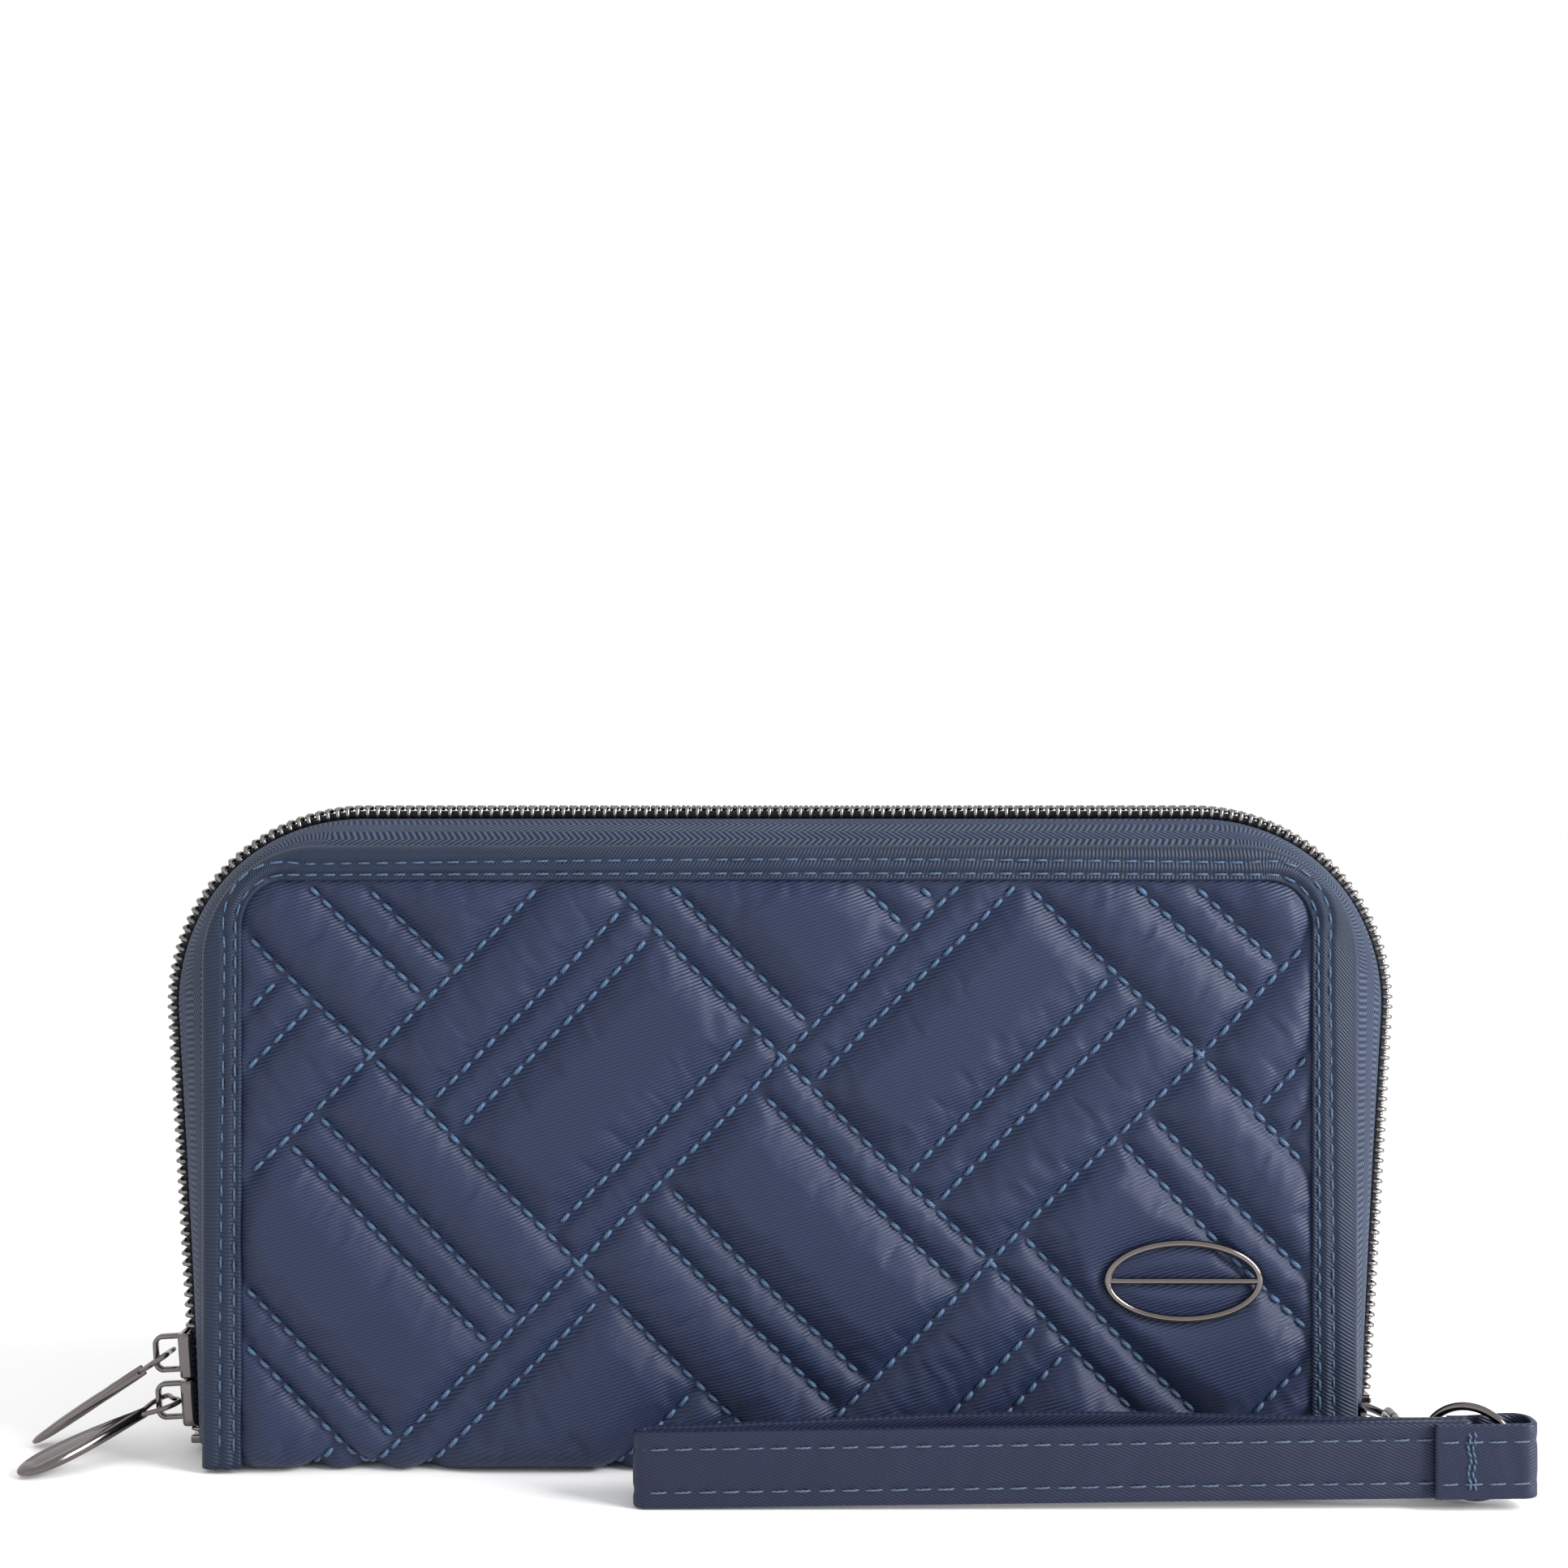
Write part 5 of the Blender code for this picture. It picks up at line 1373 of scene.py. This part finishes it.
def strap_line():
    """Centre line of the wrist loop in plan: along the front, round the fold and back behind."""
    front = STRAP_FRONT
    end = LOOP_END
    turn = STRAP_LEFT + STRAP_FOLD + STRAP_T / 2
    sewn = FOLD_X - WRAP_L - 1.5
    line = [(x, front) for x in np.linspace(end, turn, 100)]
    angles = np.radians(np.linspace(-90, -270, 13))[1:]
    line += [(turn + STRAP_FOLD * math.cos(a), front + STRAP_FOLD + STRAP_FOLD * math.sin(a)) for a in angles]
    start_y = front + 2 * STRAP_FOLD
    end_y = front + STRAP_T + WRAP_GAP
    for share in np.linspace(0, 1, 90)[1:]:
        bulge = 5.6 * math.sin(math.pi * share) ** 1.5
        line.append((turn + (sewn - turn) * share, start_y + (end_y - start_y) * share + bulge))
    line += [(x, end_y) for x in np.linspace(sewn, end, 8)[1:]]
    return np.array(line)


def wrap_line():
    """Centre line of the strap's end, folded round the ring and sewn over both layers."""
    front = STRAP_FRONT - STRAP_T / 2 - WRAP_GAP - WRAP_T / 2
    back = STRAP_FRONT + STRAP_T * 1.5 + 2 * WRAP_GAP + WRAP_T / 2
    tip = FOLD_X + 3.0
    line = [(x, front) for x in np.linspace(FOLD_X - WRAP_L, tip - 3.2, 12)]
    line += [(tip - 1.9, front), (tip - 0.7, front + 0.5), (tip, front + 1.6), (tip, back - 0.6)]
    line += [(tip - 1.0, back + 0.8), (tip - 2.8, back + 1.2), (tip - 6.5, back + 0.6)]
    line += [(LOOP_END, back), (FOLD_X - 10.2, back)]
    return smooth_line(np.array(line), 0.6)


def strap_foot(x):
    share = (x - STRAP_LEFT) / (FOLD_X - STRAP_LEFT)
    return STRAP_LIFT * np.clip(share, 0, 1)


def ribbon(name, line, thickness, height, rows, nodes, seed):
    """A woven strap along a plan line, with its rows of stitches at heights above its foot."""
    tangents = unit(np.gradient(line, axis=0))
    side = np.stack([-tangents[:, 1], tangents[:, 0]], -1)
    run = run_along(line)
    foot = strap_foot(line[:, 0]) + (STRAP_H - height) / 2
    half = thickness / 2
    levels = np.linspace(0.35, height - 0.35, 19)
    foot_edge = [(half * 0.45, 0.0), (half * 0.85, 0.1)]
    top_edge = [(out, height - level) for out, level in foot_edge[::-1]]
    section = foot_edge + [(half, level) for level in levels] + top_edge
    section += [(-out, level) for out, level in top_edge[::-1]]
    section += [(-half, level) for level in levels[::-2]]
    section += [(-out, level) for out, level in foot_edge[::-1]]
    rings = []
    flats = []
    for k, s in enumerate(run):
        gather = 0.5 + 0.5 * math.cos(2 * math.pi * s / STRAP_PITCH)
        ring = []
        for out, level in section:
            if abs(out) == half:
                dip = sum(math.exp(-(((level - row) / 0.55) ** 2)) for row in rows)
                swell = math.sin(math.pi * level / height) ** 0.5
                crease = 0.1 * ripple(s + 0.25 * level, seed, (3.1, 5.3, 8.7, 17.0)) * swell
                out = math.copysign(abs(out) - dip * (0.14 + 0.08 * gather) + crease, out)
            ring.append((*(line[k] + side[k] * out), foot[k] + level))
        rings.append(ring)
        flats.append([(s, level) for _, level in section])
    points, faces = rings_piece(rings)
    piece = make_piece(name, points, faces, "strap", "strap", nodes, np.array(flats).reshape(-1, 2))
    shells = Shells()
    rng = np.random.default_rng(seed)
    for row in rows:
        for face in (1, -1):
            place = line + side * face * (half - 0.06)
            sewn = np.stack([place[:, 0], place[:, 1], foot + row], -1)
            up = np.stack([side[:, 0] * face, side[:, 1] * face, 0 * foot], -1)
            sew(shells, sewn, up, STRAP_PITCH, STRAP_STITCH, 0.17, rng, 0.03)
    shells.piece(f"{name}_thread", "strap_thread", "strap")


def make_strap():
    ribbon("wrist_loop", strap_line(), STRAP_T, STRAP_H, (2.6, 9.6), ("strap_loop",), 3)
    ribbon("loop_end", wrap_line(), WRAP_T, WRAP_H, (2.5, 9.3), ("strap_end_wrap",), 5)
    face = STRAP_FRONT - STRAP_T / 2 - WRAP_GAP - WRAP_T
    rng = np.random.default_rng(9)
    shells = Shells()
    for offset in (0.0, 0.75):
        x = FOLD_X - 8.2 + offset
        foot = strap_foot(x) + (STRAP_H - WRAP_H) / 2
        z = np.linspace(foot + 1.0, foot + WRAP_H - 0.6, 30)
        zig = 0.22 * np.sign(np.sin(z * 4.4))
        line = np.stack([x + zig, 0 * z + face - 0.02, z], -1)
        sew(shells, line, (0.0, -1.0, 0.0), 1.35, 1.5, 0.19, rng, 0.25)
    shells.piece("bar_tack", "edge_thread", "strap")


def make_tab():
    """Fabric loop that holds the D-ring's bar."""
    cx, _, cz = DRING
    line = [(x, cz - 1.4) for x in np.linspace(92.0, cx, 12)]
    line += [(cx + 1.4 * math.cos(a), cz + 1.4 * math.sin(a)) for a in np.radians(np.linspace(-80, 80, 14))]
    line += [(x, cz + 1.4) for x in np.linspace(cx, 92.0, 12)]
    line = np.array(line)
    tangents = unit(np.gradient(line, axis=0))
    outward = np.stack([tangents[:, 1], -tangents[:, 0]], -1)
    run = run_along(line)
    rings = []
    levels = np.linspace(TAB_Y[0], TAB_Y[1], 15)
    section = [(0.38, y) for y in levels] + [(-0.38, y) for y in levels[::-1]]
    for place, way, s in zip(line, outward, run):
        ring = []
        for out, y in section:
            edge = 0.25 * (abs(y - 3) > 3.8)
            offset = (abs(out) - edge) * math.copysign(1, out) + 0.03 * math.sin(s * 2.1)
            ring.append((place[0] + way[0] * offset, y, place[1] + way[1] * offset))
        rings.append(ring)
    flats = np.array([[(s, y) for _, y in section] for s in run]).reshape(-1, 2)
    points, faces = rings_piece(rings)
    tab = make_piece("d_ring_tab", points, faces, "strap", "front_shell", ("ring_tab",), flats)


# Inside

CARD_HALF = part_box("front_card_pocket_1")[1].x / MM
WINDOW_LOW, WINDOW_HIGH = (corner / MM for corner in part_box("id_window"))
LEAF_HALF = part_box("coin_pocket")[1].x / MM
LEAF_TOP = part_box("coin_pocket")[1].z / MM
LEAF_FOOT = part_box("coin_pocket")[0].z / MM
COIN_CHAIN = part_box("coin_zip_chain_rear")


def upright_sheet(name, x_lines, z_lines, depth, thick, side, material, body, nodes):
    """A sheet on a cover's inner side. depth gives the distance of its inner face from the middle."""
    x, z, quads = lattice(x_lines, z_lines)
    points = np.stack([x, side * depth(x, z), z], -1)
    if side == -1:
        quads = quads[:, ::-1]
    return surface_piece(name, points, quads, thick, material, body, nodes, np.stack([x, z], -1))


def make_linings():
    inset = HALF_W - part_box("front_lining")[1].x / MM
    reach = HALF_W - inset
    top = PANEL_H - inset
    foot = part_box("front_lining")[0].z / MM
    for side, label, body in ((-1, "front", "front_shell"), (1, "rear", "rear_cover")):
        x, z, quads = lattice(np.linspace(-reach, reach, 130), np.linspace(foot, top, 74))
        flat = np.stack([x, z], -1)
        arch = (-reach, reach, top, foot, CORNER_R - inset)
        x, z, quads, flat = crop_to_arch(x, z, quads, flat, arch)
        soft = 0.06 * np.sin(flat[:, 0] / 9.0 + side) * np.sin(flat[:, 1] / 7.0)
        soft = soft + 0.03 * ripple(flat[:, 0], 4.1)
        points = np.stack([flat[:, 0], side * (LINING_Y - 0.6 + soft), flat[:, 1]], -1)
        if side == -1:
            quads = quads[:, ::-1]
        nodes = (f"{label}_lining",)
        piece = surface_piece(f"{label}_inner_lining", points, quads, 0.5, "lining", body, nodes, flat)
        hem = outline(2.2 - reach, reach - 2.2, top - 2.2, foot + 1, CORNER_R - inset - 2.2, (60, 20, 120))
        line = np.stack([hem[:, 0], np.full(len(hem), side * (LINING_Y - 0.64)), hem[:, 1]], -1)
        shells = Shells()
        sew(shells, line, (0.0, -side, 0.0), 2.8, 2.0, 0.15, np.random.default_rng(5), 0.03)
        shells.piece(f"{label}_lining_thread", "edge_thread", body)
    low, high = (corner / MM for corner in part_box("spine_lining"))
    x, y, quads = lattice(np.linspace(low.x, high.x, 120), np.linspace(low.y, high.y, 20))
    z = high.z - 0.08 + 0.05 * np.sin(x / 6.0) * np.cos(y / 4.0)
    points = np.stack([x, y, z], -1)
    nodes = ("spine_lining",)
    spine = surface_piece(
        "spine_inner_lining", points, quads, 0.5, "lining", "front_shell", nodes, points[:, :2]
    )


def make_pockets(side, label, body):
    """Three stepped card pockets on a cover, each with a folded hem, sewn down the sides and the middle."""
    shells = Shells()
    rng = np.random.default_rng(21)
    for tier in range(3):
        node = f"{label}_card_pocket_{tier + 1}"
        low, high = (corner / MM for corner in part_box(node))
        face = min(abs(low.y), abs(high.y))
        top = high.z

        def depth(x, z, face=face, top=top):
            slack = np.sin(math.pi * np.abs(x) / CARD_HALF) * ease((z - top + 26) / 26)
            hem = 0.05 * (z > top - 3.6)
            return face + 0.03 - 0.16 * slack - hem + 0.02 * np.sin(x / 3.1 + z / 5.0)

        x_lines = np.linspace(-CARD_HALF, CARD_HALF, 118)
        z_lines = np.concatenate([np.linspace(low.z, top - 3.7, 44), np.linspace(top - 3.5, top, 7)])
        name = f"{label}_card_tier_{tier + 1}"
        piece = upright_sheet(name, x_lines, z_lines, depth, 0.32, side, "pocket", body, (node,))
        x = np.linspace(1.5 - CARD_HALF, CARD_HALF - 1.5, 260)
        runs = [np.stack([x, 0 * x + top - 2.9], -1)]
        foot = low.z + 1 if tier == 2 else top - 14
        z = np.linspace(foot, top - 0.8, 90)
        runs += [np.stack([0 * z + place, z], -1) for place in (1.4 - CARD_HALF, 0.0, CARD_HALF - 1.4)]
        for run in runs:
            line = np.stack([run[:, 0], side * (depth(run[:, 0], run[:, 1]) - 0.03), run[:, 1]], -1)
            sew(shells, line, (0.0, -side, 0.0), INNER_PITCH, INNER_STITCH, INNER_THREAD, rng, 0.03)
    shells.piece(f"{label}_card_thread", "edge_thread", body)


def make_window():
    """Clear card window on the rear pockets, sewn on three sides."""
    face = WINDOW_LOW.y

    def depth(x, z):
        return face + 0.02 - 0.08 * np.sin((x - WINDOW_LOW.x) / 21.0) * np.sin(z / 17.0)

    x_lines = np.linspace(WINDOW_LOW.x, WINDOW_HIGH.x, 48)
    z_lines = np.linspace(WINDOW_LOW.z, WINDOW_HIGH.z, 40)
    nodes = ("id_window",)
    piece = upright_sheet("card_window", x_lines, z_lines, depth, 0.26, 1, "window", "rear_cover", nodes)
    shells = Shells()
    left, right, foot, top = WINDOW_LOW.x + 1.3, WINDOW_HIGH.x - 1.3, WINDOW_LOW.z + 1.3, WINDOW_HIGH.z - 0.6
    corners = np.array([(left, top), (left, foot), (right, foot), (right, top)])
    for start, end in zip(corners, corners[1:]):
        share = np.linspace(0, 1, 80)[:, None]
        run = start * (1 - share) + end * share
        line = np.stack([run[:, 0], depth(run[:, 0], run[:, 1]) - 0.03, run[:, 1]], -1)
        rng = np.random.default_rng(2)
        sew(shells, line, (0.0, -1.0, 0.0), INNER_PITCH, INNER_STITCH, INNER_THREAD, rng, 0.03)
    shells.piece("window_thread", "edge_thread", "rear_cover")


def make_gussets():
    """Pleated end walls. They open like a fan, so they go with both covers."""
    for side, label in ((-1, "left"), (1, "right")):
        low, high = (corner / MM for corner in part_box(f"{label}_gusset"))
        outer = max(abs(low.x), abs(high.x))
        pleat = outer - min(abs(low.x), abs(high.x)) - 0.5
        y, z, quads = lattice(np.linspace(low.y, high.y, 97), np.linspace(low.z, high.z, 60))
        phase = (y - low.y) / (high.y - low.y) * 6
        fold = 0.5 - 0.5 * np.cos(math.pi * phase)
        crease = 0.08 * np.sin(z / 4.3 + phase) * np.sin(z / 11.0)
        points = np.stack([side * (outer - 0.02 - pleat * fold + crease * fold), y, z], -1)
        if side == -1:
            quads = quads[:, ::-1]
        across = run_along(points[::60, :2])
        flat = np.stack([np.repeat(across, 60), z], -1)
        nodes = (f"{label}_gusset",)
        piece = surface_piece(f"{label}_pleats", points, quads, 0.42, "lining", None, nodes, flat)
        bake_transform(piece)


HEM_LINE = (
    (0.75, 0.5),
    (1.6, 0.5),
    (2.5, 0.45),
    (3.1, 0.25),
    (3.4, -0.3),
    (3.5, -1.2),
    (3.52, -2.6),
    (3.5, -4.0),
    (3.45, -5.0),
)


def make_coin_pocket():
    """A flat cloth bag folded at its foot and sewn at its sides, with a zip between its two mouth hems."""
    wall = [(2.95, z) for z in np.linspace(LEAF_TOP - 0.1, LEAF_FOOT + 4.5, 40)]
    wall += [(2.6, LEAF_FOOT + 3.2), (1.9, LEAF_FOOT + 1.9), (1.1, LEAF_FOOT + 0.8), (0.55, LEAF_FOOT + 0.35)]
    section = np.array(wall + [(0.0, LEAF_FOOT + 0.28)] + [(-y, z) for y, z in wall[::-1]])
    steps = run_along(section)
    count = len(section)
    x, k, quads = lattice(np.linspace(-LEAF_HALF, LEAF_HALF, 150), np.arange(count))
    y, z = section[k, 0], section[k, 1]
    close = 1 - 0.8 * np.exp(-(LEAF_HALF - np.abs(x)) / 1.6)
    open_top = ease((LEAF_TOP - z) / 9)
    close = 1 - (1 - close) * open_top
    soft = 0.16 * np.sin(x / 12.0 + 0.7) * np.sin(z / 15.0)
    soft = soft + 0.1 * ripple(x + 0.4 * z, 6.1, (7.0, 12.0, 19.0))
    y = y * close + soft * open_top * np.sign(y) * np.minimum(np.abs(y), 1)
    points = np.stack([x, y, z], -1)
    flat = np.stack([x, steps[k]], -1)
    nodes = ("coin_pocket",)
    bag = surface_piece("coin_bag", points, quads[:, ::-1], 0.4, "lining", "coin_leaf", nodes, flat)
    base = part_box("coin_zip_tape_rear")[0].z / MM
    hems = Shells()
    thread = Shells()
    rng = np.random.default_rng(31)
    for side in (-1, 1):
        line = np.array(HEM_LINE) + (0, base)
        across = run_along(line)
        x, k, quads = lattice(np.linspace(-LEAF_HALF, LEAF_HALF, 140), np.arange(len(line)))
        lift = 0.04 * np.sin(x / 2.3 + side)
        points = np.stack([x, side * (line[k, 0] + lift * (k > 4)), line[k, 1]], -1)
        if side == 1:
            quads = quads[:, ::-1]
        solid, faces = thicken(points, quads[:, ::-1], 0.26)
        flat = np.stack([x, across[k]], -1)
        hems.add(solid, faces, np.concatenate([flat, flat]))
        run = np.linspace(2 - LEAF_HALF, LEAF_HALF - 2, 200)
        row = np.stack([run, 0 * run + side * 3.53, 0 * run + base - 4.1], -1)
        sew(thread, row, (0.0, side, 0.0), INNER_PITCH, INNER_STITCH, INNER_THREAD, rng, 0.03)
    nodes = ("coin_zip_tape_front", "coin_zip_tape_rear")
    hem = hems.piece("coin_zip_hems", "tape", "coin_leaf", nodes)
    thread.piece("coin_hem_thread", "edge_thread", "coin_leaf")


def make_coin_zip():
    low, high = (corner / MM for corner in COIN_CHAIN)
    for side, label, shift in ((-1, "front", 0.0), (1, "rear", 0.5)):
        bar = [(high.y - 0.05, low.z + 0.05), (high.y - 0.1, low.z + 0.8), (1.2, high.z - 0.45)]
        bar += [(0.4, high.z - 0.4), (-0.1, high.z - 0.45), (-0.25, low.z + 0.65)]
        shells = Shells()
        for x in np.arange(low.x + 0.6 + 1.5 * shift, high.x - 0.4, 1.5):
            path = smooth_line([(x, side * y, z) for y, z in bar], 0.5)
            shells.add(*wire(path, 0.34, 8))
        shells.piece(f"coin_teeth_{label}", "coil", "coin_leaf", (f"coin_zip_chain_{label}",))
    body_low, body_high = (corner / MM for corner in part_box("coin_slider"))
    middle = (body_low.x + body_high.x) / 2
    turn = Matrix(((0, 0, 1), (0, -1, 0), (1, 0, 0))).to_4x4()
    at = Matrix.Translation((middle, 0, high.z)) @ turn
    shells = moved(slider_shells(3.5, 2.9, 2.6, 0.45, -1.85, -2.6, 1.6), at)
    bail = [(1.0, 0, -2.0), (2.1, 0, -2.0), (2.6, 0, -1.5), (2.7, 0, 0)]
    bail += [(x, 0, -z) for x, _, z in bail[2::-1]]
    points, faces = wire(smooth_line(bail, 0.3), 0.35, 12)
    shells.add(placed(points, at), faces)
    shells.piece("coin_slider_body", "gunmetal", "coin_slider", ("coin_slider",))
    frame_at = Matrix.Translation(joint_place("coin_pull_hinge")) @ Matrix.Rotation(math.pi, 4, "Z")
    pull = moved(pull_shells(15.0, 4.0, 1.0, 3.4, 1.3, 0.35), frame_at)
    pull.piece("coin_teardrop_pull", "gunmetal", "coin_pull", ("coin_pull",))


# Stage


def make_stage():
    white = new_material("stage_white", (0.93, 0.93, 0.93), 0.9)[0]
    mesh = bpy.data.meshes.new("floor")
    reach = 6.0
    corners = [(-reach, -reach, 0), (reach, -reach, 0), (reach, reach, 0), (-reach, reach, 0)]
    mesh.from_pydata(corners, [], [(0, 1, 2, 3)])
    mesh.materials.append(white)
    floor = bpy.data.objects.new("floor", mesh)
    bpy.context.scene.collection.objects.link(floor)
    floor.location.z = -0.0002
    world = bpy.data.worlds.new("studio")
    bpy.context.scene.world = world
    world.use_nodes = True
    back = world.node_tree.nodes["Background"]
    back.inputs["Color"].default_value = (1, 1, 1, 1)
    back.inputs["Strength"].default_value = 1.08


def make_light(name, place, aim, size, power):
    light = bpy.data.lights.new(name, "AREA")
    light.shape = "RECTANGLE"
    light.size, light.size_y = size
    light.energy = power
    obj = bpy.data.objects.new(name, light)
    bpy.context.scene.collection.objects.link(obj)
    obj.location = place
    obj.rotation_euler = (Vector(aim) - Vector(place)).to_track_quat("-Z", "Y").to_euler()


def make_camera():
    data = bpy.data.cameras.new("camera")
    data.lens = 51.2
    data.sensor_width = 36
    obj = bpy.data.objects.new("camera", data)
    bpy.context.scene.collection.objects.link(obj)
    obj.location = (0.0007, -0.397, 0.118)
    obj.rotation_euler = (math.pi / 2, 0, 0)
    bpy.context.scene.camera = obj


make_stage()
make_light("key", (0.8, -0.42, 0.42), (0, 0, 0.05), (0.35, 0.6), 15)
make_light("fill", (-0.7, -0.8, 0.35), (0, 0, 0.05), (0.8, 0.6), 0.8)
make_camera()
bpy.context.scene.view_settings.view_transform = "Standard"

make_quilt()
make_binding(-1, "front", "front_shell")
make_binding(1, "rear", "rear_cover")
make_zip()
make_sliders()
make_badge()
make_d_ring()
make_clasp()
make_strap_ring()
make_strap()
make_tab()
make_linings()
make_pockets(-1, "front", "front_shell")
make_pockets(1, "rear", "rear_cover")
make_window()
make_gussets()
make_coin_pocket()
make_coin_zip()
